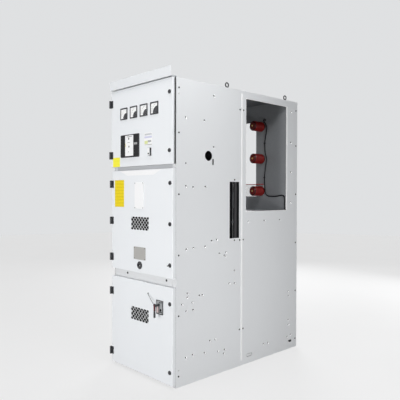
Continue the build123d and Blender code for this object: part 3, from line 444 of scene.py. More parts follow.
@dataclass(frozen=True)
class RuledCard:
    """Printed card with plain ruled lines, bare of any words."""

    name: str
    colour: Colour
    line: Colour
    pitch: float
    thickness: float
    across: str = "Z"
    strength: float = 0.8

    def material(self) -> bpy.types.Material:
        """Build the card."""
        shader = Shader(self.name)
        along = shader.axis(self.across)
        ruled = along.repeat(self.pitch) < self.thickness
        paper = shader.noise(60.0, 4.0)
        faded = tint(self.colour, 0.93)
        ground = shader.mix(paper, self.colour, faded)
        colour = shader.mix(ruled * self.strength, ground, self.line)
        return shader.finish(colour, 0.5 + paper * 0.1, shader.bump(paper, 0.00003))


@dataclass(frozen=True)
class ClearPane:
    """Clear acrylic sheet that is mostly seen through, with a faint haze."""

    name: str
    colour: Colour = (0.93, 0.94, 0.95)
    veil: float = 0.10

    def material(self) -> bpy.types.Material:
        """Build the sheet."""
        shader = Shader(self.name)
        haze = shader.noise(60.0, 4.0)
        milky = tint(self.colour, 0.96)
        colour = shader.mix(haze, self.colour, milky)
        alpha = self.veil + haze * self.veil * 0.5
        return shader.finish(colour, 0.08 + haze * 0.08, Alpha=alpha)


@dataclass(frozen=True)
class StudioGround:
    """Pale ground that glows evenly to the camera and in reflections, and keeps the object's shadow."""

    name: str
    colour: Colour
    glow: float

    def material(self) -> bpy.types.Material:
        """Build the ground."""
        shader = Shader(self.name)
        cloud = shader.noise(1.2, 3.0)
        shade = tint(self.colour, 0.97)
        colour = shader.mix(cloud, self.colour, shade)
        sockets = {"Base Color": colour, "Roughness": 0.75 + cloud * 0.1}
        matt = shader.node("ShaderNodeBsdfPrincipled", {}, sockets)
        rays = shader.node("ShaderNodeLightPath")
        seen = Signal(shader, rays.outputs["Is Camera Ray"]) + Signal(shader, rays.outputs["Is Glossy Ray"])
        seen = seen + Signal(shader, rays.outputs["Is Transmission Ray"])
        glow = {"Color": (1.0, 1.0, 1.0, 1.0), "Strength": seen * self.glow}
        light = shader.node("ShaderNodeEmission", {}, glow)
        both = shader.node("ShaderNodeAddShader", {}, {0: matt.outputs[0], 1: light.outputs[0]})
        shader.tree.links.new(both.outputs[0], shader.output.inputs[0])
        return shader.material


class Finish(Enum):
    """Every finish of the cabinet."""

    DOOR_COAT = PowderCoat("door_coat", (0.84, 0.86, 0.882))
    SIDE_COAT = LinedCoat(
        "side_coat", (0.80, 0.815, 0.83), inside=(0.13, 0.135, 0.145), axis="X", inner_face=0.398
    )
    # Painted shade: the roof's bare inner face is darker than the side panels' bare inside, standing in for
    # the shade under the roof.
    ROOF_COAT = LinedCoat(
        "roof_coat", (0.80, 0.815, 0.83), inside=(0.075, 0.078, 0.085), axis="Z", inner_face=2.298
    )
    COVER_COAT = PowderCoat("cover_coat", (0.80, 0.815, 0.83))
    FRAME_COAT = PowderCoat("frame_coat", (0.70, 0.71, 0.72))
    # Upper crossbar: a greyer coat than the frame, partly the bar's own grey and partly painted shade under
    # the upper door's overhang.
    LINTEL_COAT = PowderCoat("shaded_lintel_coat", (0.50, 0.51, 0.53))
    # On the joint strips this whiter coat is partly a painted highlight along the side seam's folded edge; on
    # the window cover it is the cover's own white.
    STRIP_COAT = PowderCoat("strip_coat", (0.93, 0.93, 0.935))
    GRILLE_COAT = PowderCoat("grille_coat", (0.72, 0.73, 0.74))
    GREY_PLATE = PowderCoat("grey_plate", (0.42, 0.41, 0.39), 0.38)
    LOCK_PLATE = PowderCoat("lock_plate", (0.34, 0.35, 0.36), 0.35)
    INNER_SHEET = CoatedSheet("inner_sheet", (0.50, 0.51, 0.54))
    BUSBAR_SHEET = CoatedSheet("busbar_sheet", (0.31, 0.323, 0.338), 0.45, 0.1)
    # Painted light: the busbar floor is the same zinc sheet as the walls, made lighter because it faces up
    # and catches light.
    FLOOR_SHEET = CoatedSheet("lit_floor_sheet", (0.62, 0.63, 0.66), 0.4)
    SHADE_SHEET = CoatedSheet("shade_sheet", (0.035, 0.036, 0.040), 0.5, 0.1)
    # Painted shade: the shutter rails are near black, standing in for the shade deep in the tall slot.
    RAIL_SHEET = CoatedSheet("shaded_rail_sheet", (0.012, 0.012, 0.014), 0.5, 0.1)
    SCREW_DARK = MouldedPlastic("dark_screw", (0.010, 0.010, 0.011), 0.38, 0.00003, 0.3)
    SCREW_BRIGHT = PlatedSteel("bright_screw", (0.62, 0.62, 0.61), 0.3)
    BRASS = PlatedSteel("brass_insert", (0.72, 0.50, 0.20), 0.28)
    CHAIN = PlatedSteel("chain_steel", (0.06, 0.06, 0.06), 0.4)
    # Painted highlight: near-white mirror steel for the lit lip beside each unused hole in the side panels.
    EYELET_STEEL = PlatedSteel("eyelet_highlight_steel", (0.97, 0.97, 0.97), 0.16)
    BLACK_STEEL = PowderCoat("black_steel", (0.024, 0.026, 0.030), 0.45, 0.00008)
    BLACK_PLASTIC = MouldedPlastic("black_plastic", (0.004, 0.004, 0.0045), 0.45, 0.00005, 0.18)
    DARK_PLASTIC = MouldedPlastic("dark_plastic", (0.008, 0.008, 0.009), 0.35, 0.00005, 0.22)
    DIAL_WHITE = MouldedPlastic("dial_white", (0.90, 0.90, 0.89), 0.5, 0.00001)
    RED_PLASTIC = MouldedPlastic("red_plastic", (0.085, 0.004, 0.010), 0.35, 0.00005, 0.25)
    RED_EDGE = MouldedPlastic("red_edge", (0.55, 0.02, 0.02), 0.4)
    PINK_TAG = MouldedPlastic("pink_tag", (0.60, 0.47, 0.47), 0.45)
    SEAL_RUBBER = SoftRubber("seal_rubber", (0.003, 0.003, 0.003))
    # Painted light: pale seals in the lower doors' gaps lift the shade that falls behind the door edges.
    PALE_SEAL = MouldedPlastic("painted_light_seal", (0.74, 0.75, 0.76), 0.6)
    LEAD_SHEATH = SoftRubber("lead_sheath", (0.010, 0.010, 0.011))
    # Painted shade: near-black pads behind the vent grilles stand in for the shade seen through the holes.
    FILTER_FOAM = SoftRubber("vent_shade_backing", (0.002, 0.002, 0.002))
    RESIN = CastResin("cast_resin")
    YELLOW_CARD = RuledCard("yellow_card", (0.92, 0.72, 0.0), (0.34, 0.23, 0.0), 0.0122, 0.0026)
    PALE_YELLOW_CARD = RuledCard("pale_yellow_card", (0.97, 0.90, 0.05), (0.80, 0.68, 0.03), 0.03, 0.001)
    GREY_BAR = RuledCard("grey_bar", (0.80, 0.81, 0.83), (0.30, 0.31, 0.34), 0.0075, 0.0036, "X")
    LILAC_BAR = RuledCard("lilac_bar", (0.70, 0.70, 0.86), (0.42, 0.42, 0.60), 0.011, 0.0030, "X")
    GREEN_PATCH = RuledCard("green_patch", (0.72, 0.76, 0.36), (0.55, 0.60, 0.25), 0.011, 0.0020)
    DARK_STROKES = RuledCard("dark_strokes", (0.66, 0.67, 0.66), (0.05, 0.05, 0.06), 0.0092, 0.0046, "X")
    FAINT_MARK = RuledCard("faint_mark", (0.42, 0.42, 0.42), (0.20, 0.20, 0.20), 0.006, 0.0015, "X")
    WHITE_CARD = RuledCard("white_card", (0.94, 0.94, 0.94), (0.78, 0.79, 0.80), 0.041, 0.0010, "Z", 0.5)
    BLACK_MARK = RuledCard("black_mark", (0.10, 0.10, 0.10), (0.05, 0.05, 0.05), 0.004, 0.001)
    TITLE_STRIP = RuledCard("title_strip", (0.945, 0.945, 0.95), (0.90, 0.90, 0.91), 0.05, 0.001)
    CLEAR_PANE = ClearPane("clear_pane", (0.93, 0.94, 0.95), 0.005)
    BARRIER_PANE = ClearPane("barrier_pane", (0.90, 0.90, 0.90), 0.16)
    # Painted highlight: the edging round the side openings is whiter than the side paint, to make a bright
    # line along the opening.
    EDGING = PowderCoat("opening_highlight_edging", (0.96, 0.96, 0.96), 0.3)
    GUIDE_STEEL = PlatedSteel("guide_steel", (0.60, 0.61, 0.62), 0.3)
    LATCH_STEEL = PlatedSteel("latch_steel", (0.22, 0.23, 0.24), 0.4)
    PLUG_PLASTIC = MouldedPlastic("plug_plastic", (0.72, 0.73, 0.74), 0.45)
    EYE_STEEL = PlatedSteel("eye_steel", (0.07, 0.07, 0.073), 0.36)
    FLOOR = StudioGround("studio_floor", (0.15, 0.15, 0.152), 0.66)

    def material(self) -> bpy.types.Material:
        """The finish's material, built once."""
        known = bpy.data.materials.get(self.value.name)
        return known if known else self.value.material()


NODE_FINISHES: dict[Finish, tuple[str, ...]] = {
    Finish.DOOR_COAT: ("upper_door", "middle_door", "lower_door", "header_plate"),
    Finish.SIDE_COAT: (
        "right_front_side_panel", "left_front_side_panel", "right_rear_side_panel", "left_rear_side_panel",
    ),
    Finish.ROOF_COAT: ("roof_plate",),
    Finish.COVER_COAT: ("rear_cover", "relief_flaps"),
    Finish.STRIP_COAT: ("joint_strips", "window_cover"),
    Finish.FRAME_COAT: (
        "corner_posts", "middle_posts", "front_base_rail", "middle_crossbar", "front_top_rail",
        "rear_top_rail",
    ),
    Finish.LINTEL_COAT: ("upper_crossbar",),
    Finish.INNER_SHEET: ("base_plate", "instrument_floor", "instrument_back", "breaker_floor"),
    Finish.BUSBAR_SHEET: ("busbar_wall",),
    Finish.FLOOR_SHEET: ("busbar_floor",),
    Finish.SHADE_SHEET: ("middle_wall",),
    Finish.RAIL_SHEET: ("shutter_rails",),
    Finish.EYE_STEEL: ("lifting_eyes",),
    Finish.BARRIER_PANE: ("barrier_sheet",),
    Finish.RESIN: ("post_insulators",),
    Finish.LEAD_SHEATH: ("sensor_lead",),
    Finish.SEAL_RUBBER: ("upper_door_seal", "lead_glands"),
    Finish.BLACK_STEEL: (
        "upper_hinge_brackets", "middle_hinge_brackets", "lower_hinge_brackets",
        "upper_hinge_leaves", "middle_hinge_leaves", "lower_hinge_leaves", "interlock_handle",
    ),
    Finish.BLACK_PLASTIC: (
        "panel_meters", "protection_relay", "humidity_controller", "crank_socket",
        "upper_door_locks", "middle_door_locks", "lower_door_locks",
    ),
    Finish.GRILLE_COAT: ("middle_vent_grille", "lower_vent_grille"),
    Finish.GREY_PLATE: ("blank_plate",),
    Finish.LOCK_PLATE: ("interlock_plate",),
}


# Modelling

class Face(Enum):
    """A side of the cabinet that pieces are fixed on: outward normal and sideways direction."""

    FRONT = ((0.0, -1.0, 0.0), (1.0, 0.0, 0.0))
    RIGHT = ((1.0, 0.0, 0.0), (0.0, 1.0, 0.0))
    LEFT = ((-1.0, 0.0, 0.0), (0.0, -1.0, 0.0))
    REAR = ((0.0, 1.0, 0.0), (-1.0, 0.0, 0.0))
    ROOF = ((0.0, 0.0, 1.0), (1.0, 0.0, 0.0))

    def matrix(self, place: Sequence[float]) -> Matrix:
        """Matrix that stands a piece made round +Z at the origin on this face.

        Args:
            place: Point on the face, in metres.

        Returns:
            The placing matrix.
        """
        normal, side = Vector(self.value[0]), Vector(self.value[1])
        turn = Matrix((side, normal.cross(side), normal)).transposed().to_4x4()
        return Matrix.Translation(Vector(place)) @ turn


def looks_up(face: bpy.types.MeshPolygon) -> bool:
    """Whether a face of a standing piece looks up."""
    return face.normal.z > SQUARE_ON


def looks_ahead(face: bpy.types.MeshPolygon) -> bool:
    """Whether a face looks to the cabinet's front."""
    return face.normal.y < -SQUARE_ON


def runs_deep(first: Vector, second: Vector) -> bool:
    """Whether an edge between two points runs from front to back."""
    return abs(first.y - second.y) > LEVEL_EDGE


class Bench:
    """Modelling steps on one mesh at a time, made with Blender's own operators."""

    @staticmethod
    def clear() -> None:
        """Deselect everything."""
        if bpy.context.object and bpy.context.object.mode != "OBJECT":
            bpy.ops.object.mode_set(mode="OBJECT")
        bpy.ops.object.select_all(action="DESELECT")

    @classmethod
    def pick(cls, piece: bpy.types.Object) -> None:
        """Make one piece the only selected and active one."""
        cls.clear()
        piece.select_set(True)
        bpy.context.view_layer.objects.active = piece

    @classmethod
    def box(cls, name: str, low: Sequence[float], high: Sequence[float]) -> bpy.types.Object:
        """Cube between two corners.

        Args:
            name: The piece's name.
            low: Lowest corner, in metres.
            high: Highest corner, in metres.

        Returns:
            The cube, with its place in its mesh.
        """
        cls.clear()
        centre = [(a + b) / 2 for a, b in zip(low, high)]
        size = [b - a for a, b in zip(low, high)]
        bpy.ops.mesh.primitive_cube_add(size=1.0, location=centre, scale=size)
        return cls._settle(name)

    @classmethod
    def disc(
        cls, name: str, radius: float, depth: float, sides: int = 24, foot: float = 0.0
    ) -> bpy.types.Object:
        """Cylinder that stands on the origin along +Z.

        Args:
            name: The piece's name.
            radius: Radius, in metres.
            depth: Height, in metres.
            sides: Number of sides.
            foot: Height of its lower face.

        Returns:
            The cylinder.
        """
        cls.clear()
        bpy.ops.mesh.primitive_cylinder_add(
            vertices=sides, radius=radius, depth=depth, location=(0.0, 0.0, foot + depth / 2)
        )
        return cls._settle(name)

    @classmethod
    def _settle(cls, name: str) -> bpy.types.Object:
        """Name the new primitive and put its place into its mesh."""
        piece = bpy.context.object
        piece.name = name
        piece.data.name = name
        bpy.ops.object.transform_apply(location=True, rotation=True, scale=True)
        return piece

    @classmethod
    def _edit(cls, piece: bpy.types.Object, kind: str, choose: Callable[[], None]) -> None:
        """Enter edit mode with only some elements selected.

        Args:
            piece: The piece to edit.
            kind: "FACE" or "EDGE".
            choose: Marks the elements, in object mode.
        """
        cls.pick(piece)
        bpy.ops.object.mode_set(mode="EDIT")
        bpy.ops.mesh.select_mode(type=kind)
        bpy.ops.mesh.select_all(action="DESELECT")
        cls.leave()
        choose()
        bpy.ops.object.mode_set(mode="EDIT")

    @classmethod
    def edit_faces(cls, piece: bpy.types.Object, chosen: FaceTest) -> None:
        """Enter edit mode with only the chosen faces selected."""
        faces = piece.data.polygons
        cls._edit(piece, "FACE", lambda: faces.foreach_set("select", [bool(chosen(face)) for face in faces]))

    @classmethod
    def bevel_edges(
        cls, piece: bpy.types.Object, chosen: EdgeTest, width: float, segments: int
    ) -> None:
        """Bevel the chosen edges.

        Args:
            piece: The piece.
            chosen: Test of an edge's two ends.
            width: Width of the bevel, in metres.
            segments: Steps of the bevel.
        """
        points = piece.data.vertices

        def choose() -> None:
            """Mark the edges whose ends pass the test."""
            for edge in piece.data.edges:
                edge.select = chosen(*(points[index].co for index in edge.vertices))

        cls._edit(piece, "EDGE", choose)
        bpy.ops.mesh.bevel(offset=width, segments=segments)
        cls.leave()

    @classmethod
    def inset(
        cls, piece: bpy.types.Object, chosen: FaceTest, rim: float,
        sink: Point | None = None, move: Point | None = None,
    ) -> None:
        """Inset the chosen faces, then sink them with walls or move them.

        Args:
            piece: The piece.
            chosen: Test of a face.
            rim: Width of the rim, in metres.
            sink: Way that the inner face is extruded, if it is.
            move: Way that the inner face is moved, if it is.
        """
        cls.edit_faces(piece, chosen)
        bpy.ops.mesh.inset(thickness=rim)
        if sink:
            bpy.ops.mesh.extrude_region_move(TRANSFORM_OT_translate={"value": sink})
        if move:
            bpy.ops.transform.translate(value=move)
        cls.leave()

    @staticmethod
    def leave() -> None:
        """Leave edit mode."""
        bpy.ops.object.mode_set(mode="OBJECT")

    @staticmethod
    def top(piece: bpy.types.Object) -> float:
        """Level just under a standing piece's top."""
        return max(vertex.co.z for vertex in piece.data.vertices) - TOUCH

    @classmethod
    def bevel_top(cls, piece: bpy.types.Object, width: float, segments: int = 2) -> None:
        """Round the rim of a standing piece's top.

        Args:
            piece: The piece.
            width: Width of the rounding, in metres.
            segments: Steps of the rounding.
        """
        top = cls.top(piece)
        cls.bevel_edges(piece, lambda a, b: a.z > top and b.z > top, width, segments)

    @classmethod
    def sink_top(cls, piece: bpy.types.Object, rim: float, depth: float) -> None:
        """Sink the top of a standing piece inside a rim.

        Args:
            piece: The piece.
            rim: Width of the rim, in metres.
            depth: Depth of the hollow, in metres.
        """
        top = cls.top(piece)
        cls.inset(
            piece, lambda face: looks_up(face) and face.center.z > top, rim, sink=(0.0, 0.0, -depth)
        )

    @classmethod
    def soften(cls, piece: bpy.types.Object, width: float, segments: int = 2, angle: float = 40.0) -> None:
        """Bevel every sharp edge with a modifier and apply it.

        Args:
            piece: The piece.
            width: Width of the bevel, in metres.
            segments: Steps of the bevel.
            angle: Least angle of an edge, in degrees.
        """
        cls.pick(piece)
        bevel = piece.modifiers.new("edges", "BEVEL")
        bevel.width = width
        bevel.segments = segments
        bevel.limit_method = "ANGLE"
        bevel.angle_limit = math.radians(angle)
        bpy.ops.object.modifier_apply(modifier=bevel.name)

    @classmethod
    def soft_box(
        cls, name: str, low: Sequence[float], high: Sequence[float], width: float, segments: int = 2
    ) -> bpy.types.Object:
        """Cube between two corners with its edges bevelled.

        Args:
            name: The piece's name.
            low: Lowest corner, in metres.
            high: Highest corner, in metres.
            width: Width of the bevel, in metres.
            segments: Steps of the bevel.

        Returns:
            The softened cube.
        """
        piece = cls.box(name, low, high)
        cls.soften(piece, width, segments)
        return piece

    @classmethod
    def knob(
        cls, name: str, radius: float, depth: float, sides: int, rim: tuple[float, int],
        hollow: Spot | None = None,
    ) -> bpy.types.Object:
        """Round standing piece with a rounded rim, smooth all over.

        Args:
            name: The piece's name.
            radius: Radius, in metres.
            depth: Height, in metres.
            sides: Number of sides.
            rim: Width and steps of the rounding.
            hollow: Rim and depth of the hollow in its top, if it has one.

        Returns:
            The piece.
        """
        piece = cls.disc(name, radius, depth, sides)
        cls.bevel_top(piece, *rim)
        if hollow:
            cls.sink_top(piece, *hollow)
        cls.smooth(piece)
        return piece

    @classmethod
    def hoop(cls, piece: bpy.types.Object, chosen: FaceTest, rim: float) -> None:
        """Open a box between its two chosen faces, so that a frame is left.

        Args:
            piece: The box.
            chosen: Test of a face.
            rim: Width of the frame, in metres.
        """
        cls.edit_faces(piece, chosen)
        bpy.ops.mesh.inset(thickness=rim)
        bpy.ops.mesh.bridge_edge_loops()
        cls.leave()

    @classmethod
    def smooth(cls, piece: bpy.types.Object, angle: float = 35.0) -> None:
        """Shade the piece smooth up to an angle."""
        cls.pick(piece)
        bpy.ops.object.shade_smooth_by_angle(angle=math.radians(angle))

    @classmethod
    def copies(
        cls, name: str, model: bpy.types.Object, places: Iterable[Matrix], keep: bool = False
    ) -> bpy.types.Object:
        """Copy a model to several places and join the copies into one piece.

        Args:
            name: The joined piece's name.
            model: The model, made round +Z at the origin.
            places: A placing matrix for each copy.
            keep: Whether the model stays for another use.

        Returns:
            The joined piece.
        """
        made = []
        for place in places:
            copy = bpy.data.objects.new(name, model.data.copy())
            copy.data.transform(place)
            bpy.context.scene.collection.objects.link(copy)
            made.append(copy)
        cls.clear()
        for copy in made:
            copy.select_set(True)
        bpy.context.view_layer.objects.active = made[0]
        if len(made) > 1:
            bpy.ops.object.join()
        piece = bpy.context.view_layer.objects.active
        piece.name = name
        piece.data.name = name
        if not keep:
            bpy.data.objects.remove(model)
        return piece

    @classmethod
    def join(cls, name: str, pieces: Sequence[bpy.types.Object]) -> bpy.types.Object:
        """Join pieces that share a body into one, each with its own materials.

        Args:
            name: The joined piece's name.
            pieces: The pieces.

        Returns:
            The joined piece.
        """
        cls.clear()
        for piece in pieces:
            piece.select_set(True)
        bpy.context.view_layer.objects.active = pieces[0]
        bpy.ops.object.join()
        joined = bpy.context.view_layer.objects.active
        joined.name = name
        joined.data.name = name
        return joined


def coat(piece: bpy.types.Object, finish: Finish) -> bpy.types.Object:
    """Give a whole piece one finish.

    Args:
        piece: The piece.
        finish: The finish.

    Returns:
        The same piece.
    """
    piece.data.materials.clear()
    piece.data.materials.append(finish.material())
    return piece


def mount(piece: bpy.types.Object, body: str) -> None:
    """Let a piece ride on a body and report it."""
    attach(piece, body)
    LOG.info("%s rides on %s: %d faces", piece.name, body, len(piece.data.polygons))


def fit(piece: bpy.types.Object, finish: Finish, body: str) -> None:
    """Give a whole piece one finish and let it ride on a body."""
    mount(coat(piece, finish), body)


# Sub-assemblies

@dataclass
class Screws:
    """Pan-head screws with a cross recess, modelled once and copied."""

    radius: float = 6.8 * MM
    height: float = 2.9 * MM
    recess: float = 1.6 * MM

    def model(self) -> bpy.types.Object:
        """Model one screw head.

        Returns:
            The screw head, standing on the origin.
        """
        head = Bench.disc("screw_head", self.radius, self.height, 16)
        Bench.bevel_top(head, self.height * 0.7, 3)
        top = Bench.top(head)
        Bench.edit_faces(head, lambda face: face.center.z > top)
        bpy.ops.mesh.inset(thickness=self.radius * 0.12)
        bpy.ops.mesh.extrude_region_move(TRANSFORM_OT_translate={"value": (0.0, 0.0, -self.recess)})
        bpy.ops.transform.resize(value=(0.45, 0.45, 1.0))
        Bench.leave()
        Bench.smooth(head)
        return head

    def fit(
        self, name: str, face: Face, places: Sequence[Sequence[float]], body: str, finish: Finish
    ) -> None:
        """Fit screws at places on a face.

        Args:
            name: The piece's name.
            face: The side they stand on.
            places: Points on the face, in metres.
            body: The body they ride on.
            finish: Their finish.
        """
        piece = Bench.copies(name, self.model(), [face.matrix(place) for place in places])
        fit(piece, finish, body)


@dataclass
class Eyelets:
    """Unused fixing holes: a dark bore, painted shade inside the hole, beside a bright lip that is a painted
    highlight of the hole's lit flank.
    """

    radius: float = 7.5 * MM
    height: float = 2.7 * MM
    bore: float = 5.6 * MM
    shift: tuple[float, float] = (4.6 * MM, 2.6 * MM)

    def model(self) -> bpy.types.Object:
        """Model one eyelet.

        Returns:
            The eyelet, standing on the origin.
        """
        # The bright lip, shifted to one side of the bore, is a painted highlight of the hole's lit flank.
        lip = Bench.disc("eyelet_highlight_lip", self.radius, self.height, 20)
        Bench.bevel_top(lip, self.height * 0.9, 4)
        Bench.smooth(lip)
        lip.data.transform(Matrix.Translation(Vector((self.shift[0], -self.shift[1], 0.0))))
        coat(lip, Finish.EYELET_STEEL)
        # The dark dish is painted shade inside the hole.
        bore = Bench.disc("eyelet_shade_bore", self.bore, self.height * 1.1, 20)
        Bench.bevel_top(bore, 0.5 * MM, 1)
        Bench.sink_top(bore, 0.8 * MM, self.height * 0.8)
        bore.data.transform(Matrix.Translation(Vector((-self.shift[0] * 0.7, self.shift[1] * 0.7, 0.0))))
        coat(bore, Finish.SCREW_DARK)
        return Bench.join("eyelet", [lip, bore])

    def fit(self, name: str, face: Face, places: Sequence[Sequence[float]], body: str) -> None:
        """Fit eyelets at places on a face.

        Args:
            name: The piece's name.
            face: The side they stand on.
            places: Points on the face, in metres.
            body: The body they ride on.
        """
        mount(Bench.copies(name, self.model(), [face.matrix(place) for place in places]), body)


@dataclass
class SidePanels:
    """Screws and eyelets of the two sides, measured back from the frame's front and up from the floor."""

    front: float = -750.0
    half_width: float = 400.0
    front_edge: tuple[tuple[float, float], ...] = (
        (27, 82), (27, 532), (27, 983), (27, 1437), (27, 1893), (27, 2225),
    )
    rear_edge: tuple[tuple[float, float], ...] = (
        (1478, 77), (1478, 530), (1478, 983), (1478, 1437), (1478, 1890), (1478, 2220),
    )
    seam: tuple[tuple[float, float], ...] = (
        (698, 2140), (742, 2140), (698, 1056), (742, 1056), (698, 307), (742, 307), (633, 1556), (633, 1058),
    )
    bright: tuple[tuple[float, float], ...] = ((27, 127), (27, 2180))
    eyelets: tuple[tuple[float, float], ...] = (
        (98, 2012), (288, 2008), (390, 2210), (390, 1808), (98, 1668), (98, 1498), (172, 1490), (300, 1495),
        (104, 1022), (175, 1027), (300, 1030), (370, 1070), (430, 1075), (458, 963), (535, 965), (515, 942),
        (527, 935), (635, 808), (575, 707), (637, 702), (115, 688), (115, 658), (240, 656), (270, 656),
        (62, 612), (166, 612), (104, 555), (175, 555), (415, 280), (355, 283), (100, 205), (170, 212),
        (295, 200), (448, 177), (520, 177), (510, 147), (808, 1205), (1018, 1205), (1237, 1205),
        (1400, 2200), (1400, 1917), (1400, 1640), (1400, 1360), (1375, 533), (1375, 495), (1375, 270),
        (1375, 225), (1410, 125), (1360, 115), (1015, 120), (1075, 118),
    )

    def places(self, side: int, spots: Sequence[tuple[float, float]]) -> list[Point]:
        """Points on one side panel.

        Args:
            side: 1 for the right, -1 for the left.
            spots: Depths and levels, in millimetres.

        Returns:
            The points, in metres.
        """
        face = side * self.half_width * MM
        return [(face, (self.front + depth) * MM, level * MM) for depth, level in spots]

    def build(self) -> None:
        """Fit the fasteners of both sides."""
        dark = self.front_edge + self.rear_edge + self.seam
        for side, face, word in ((1, Face.RIGHT, "right"), (-1, Face.LEFT, "left")):
            for name, spots, finish in (
                ("screws", dark, Finish.SCREW_DARK), ("bright_screws", self.bright, Finish.SCREW_BRIGHT),
            ):
                Screws().fit(f"{word}_side_{name}", face, self.places(side, spots), "cabinet", finish)
            Eyelets().fit(f"{word}_side_eyelets", face, self.places(side, self.eyelets), "cabinet")


@dataclass
class Cards:
    """Thin cards stuck on the doors, each with rounded corners and a lifted middle."""

    thickness: float = 0.6 * MM
    rounding: float = 2.0 * MM
    rim: float = 0.8 * MM
    lift: float = 0.12 * MM

    def stick(self, name: str, low: Spot, high: Spot, front: float, body: str, finish: Finish) -> None:
        """Stick a card on a door face.

        Args:
            name: The card's name.
            low: Its lower left corner as x and z, in millimetres.
            high: Its upper right corner as x and z, in millimetres.
            front: Y of the face it lies on, in metres.
            body: The body it rides on.
            finish: Its finish.
        """
        card = Bench.box(
            name, (low[0] * MM, front - self.thickness, low[1] * MM), (high[0] * MM, front, high[1] * MM)
        )
        Bench.bevel_edges(card, runs_deep, self.rounding, 3)
        Bench.inset(card, looks_ahead, self.rim, move=(0.0, -self.lift, 0.0))
        fit(card, finish, body)

    def printed_on(self, rounding: float) -> "Cards":
        """Maker of the thin printed marks that lie on such a card."""
        return Cards(0.15 * MM, rounding)


@dataclass
class PanelMeters:
    """Faces of the square panel meters: dial, scale, needle, corner cover and pane."""

    size: float = 75.0 * MM
    shift: float = -1.5 * MM
    sink: float = 3.0 * MM
    pane_sink: float = 0.4 * MM
    pivot_inset: float = 6.0 * MM
    scale_radius: float = 60.0 * MM
    cover_radius: float = 42.0 * MM
    ticks: int = 21
    long_every: int = 5
    swing: Spot = (100.0, 170.0)
    reading: float = 0.02
    cover_growth: tuple[float, ...] = (1.0, 1.0, 1.0, 1.22)

    def build(self) -> None:
        """Build the faces along the row that the CAD node's own box gives."""
        low, high = (Vector(corner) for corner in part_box("panel_meters"))
        size = high.z - low.z
        first, last = low.x + size / 2, high.x - size / 2
        step = (last - first) / (len(self.cover_growth) - 1)
        for index, growth in enumerate(self.cover_growth):
            self.face(index + 1, growth, Vector((first + step * index, low.y, (low.z + high.z) / 2)))

    def face(self, number: int, growth: float, centre: Vector) -> None:
        """Build one face.

        Args:
            number: Which meter, from one.
            growth: How much larger its corner cover is.
            centre: Middle of its bezel's front.
        """
        half = self.size / 2
        dial = Bench.box("dial", (-half, -half, 0.0), (half, half, 0.5 * MM))
        Bench.inset(dial, looks_up, 2.0 * MM, sink=(0.0, 0.0, -0.2 * MM))
        coat(dial, Finish.DIAL_WHITE)
        parts = [
            dial, self.scale_marks(half), self.needle(half),
            self.cover(half, self.cover_radius * growth),
        ]
        piece = Bench.join(f"meter_{number}_dial", parts)
        piece.data.transform(Face.FRONT.matrix(centre + Vector((self.shift, self.sink, 0.0))))
        mount(piece, "upper_door")
        ends = (-half, -half, 0.0), (half, half, 0.3 * MM)
        pane = Bench.soft_box(f"meter_{number}_pane", *ends, 0.1 * MM, 1)
        pane.data.transform(Face.FRONT.matrix(centre + Vector((self.shift, self.pane_sink, 0.0))))
        fit(pane, Finish.CLEAR_PANE, "upper_door")

    def turned(self, half: float, angle: float) -> Matrix:
        """Turn about the needle's pivot, in the dial's own frame, by an angle in degrees."""
        pivot = Vector((half - self.pivot_inset, self.pivot_inset - half, 0.0))
        return Matrix.Translation(pivot) @ Matrix.Rotation(math.radians(angle), 4, "Z")

    def scale_marks(self, half: float) -> bpy.types.Object:
        """Model the scale: an arc of ticks, longer at each fifth.

        Args:
            half: Half the dial's size.

        Returns:
            The marks.
        """
        step = (self.swing[1] - self.swing[0]) / (self.ticks - 1)
        turns = [self.turned(half, self.swing[0] + step * i) for i in range(self.ticks)]
        between = [turn for i, turn in enumerate(turns) if i % self.long_every]
        marks = []
        for name, side, length, places in (
            ("short_ticks", 0.35 * MM, 4 * MM, between),
            ("long_ticks", 0.6 * MM, 7 * MM, turns[::self.long_every]),
        ):
            low, high = (self.scale_radius, -side, 0.3 * MM), (self.scale_radius + length, side, 0.55 * MM)
            marks.append(Bench.copies(name, Bench.soft_box("tick", low, high, 0.05 * MM, 1), places))
        return coat(Bench.join("scale_marks", marks), Finish.DARK_PLASTIC)

    def needle(self, half: float) -> bpy.types.Object:
        """Model the needle at its reading.

        Args:
            half: Half the dial's size.

        Returns:
            The needle.
        """
        ends = (0.0, -0.8 * MM, 1.0 * MM), (self.scale_radius + 2 * MM, 0.8 * MM, 1.3 * MM)
        needle = Bench.box("needle", *ends)
        Bench.edit_faces(needle, lambda face: face.normal.x > SQUARE_ON)
        bpy.ops.transform.resize(value=(1.0, 0.3, 1.0))
        Bench.leave()
        angle = self.swing[1] - self.reading * (self.swing[1] - self.swing[0])
        needle.data.transform(self.turned(half, angle))
        return coat(needle, Finish.DARK_PLASTIC)

    def cover(self, half: float, radius: float) -> bpy.types.Object:
        """Model the quarter-round cover over the needle's pivot in the lower right corner.

        Args:
            half: Half the dial's size.
            radius: The cover's radius.

        Returns:
            The cover.
        """
        cover = Bench.disc("corner_cover", radius, 1.9 * MM, 48, 0.3 * MM)
        Bench.pick(cover)
        for normal, outer in (((1.0, 0.0, 0.0), True), ((0.0, 1.0, 0.0), False)):
            bpy.ops.object.mode_set(mode="EDIT")
            bpy.ops.mesh.select_all(action="SELECT")
            bpy.ops.mesh.bisect(
                plane_co=(0.0, 0.0, 0.0), plane_no=normal, use_fill=True, clear_outer=outer,
                clear_inner=not outer,
            )
            Bench.leave()
        Bench.soften(cover, 0.5 * MM, 2)
        cover.data.transform(Matrix.Translation(Vector((half, -half, 0.0))))
        return coat(cover, Finish.BLACK_PLASTIC)


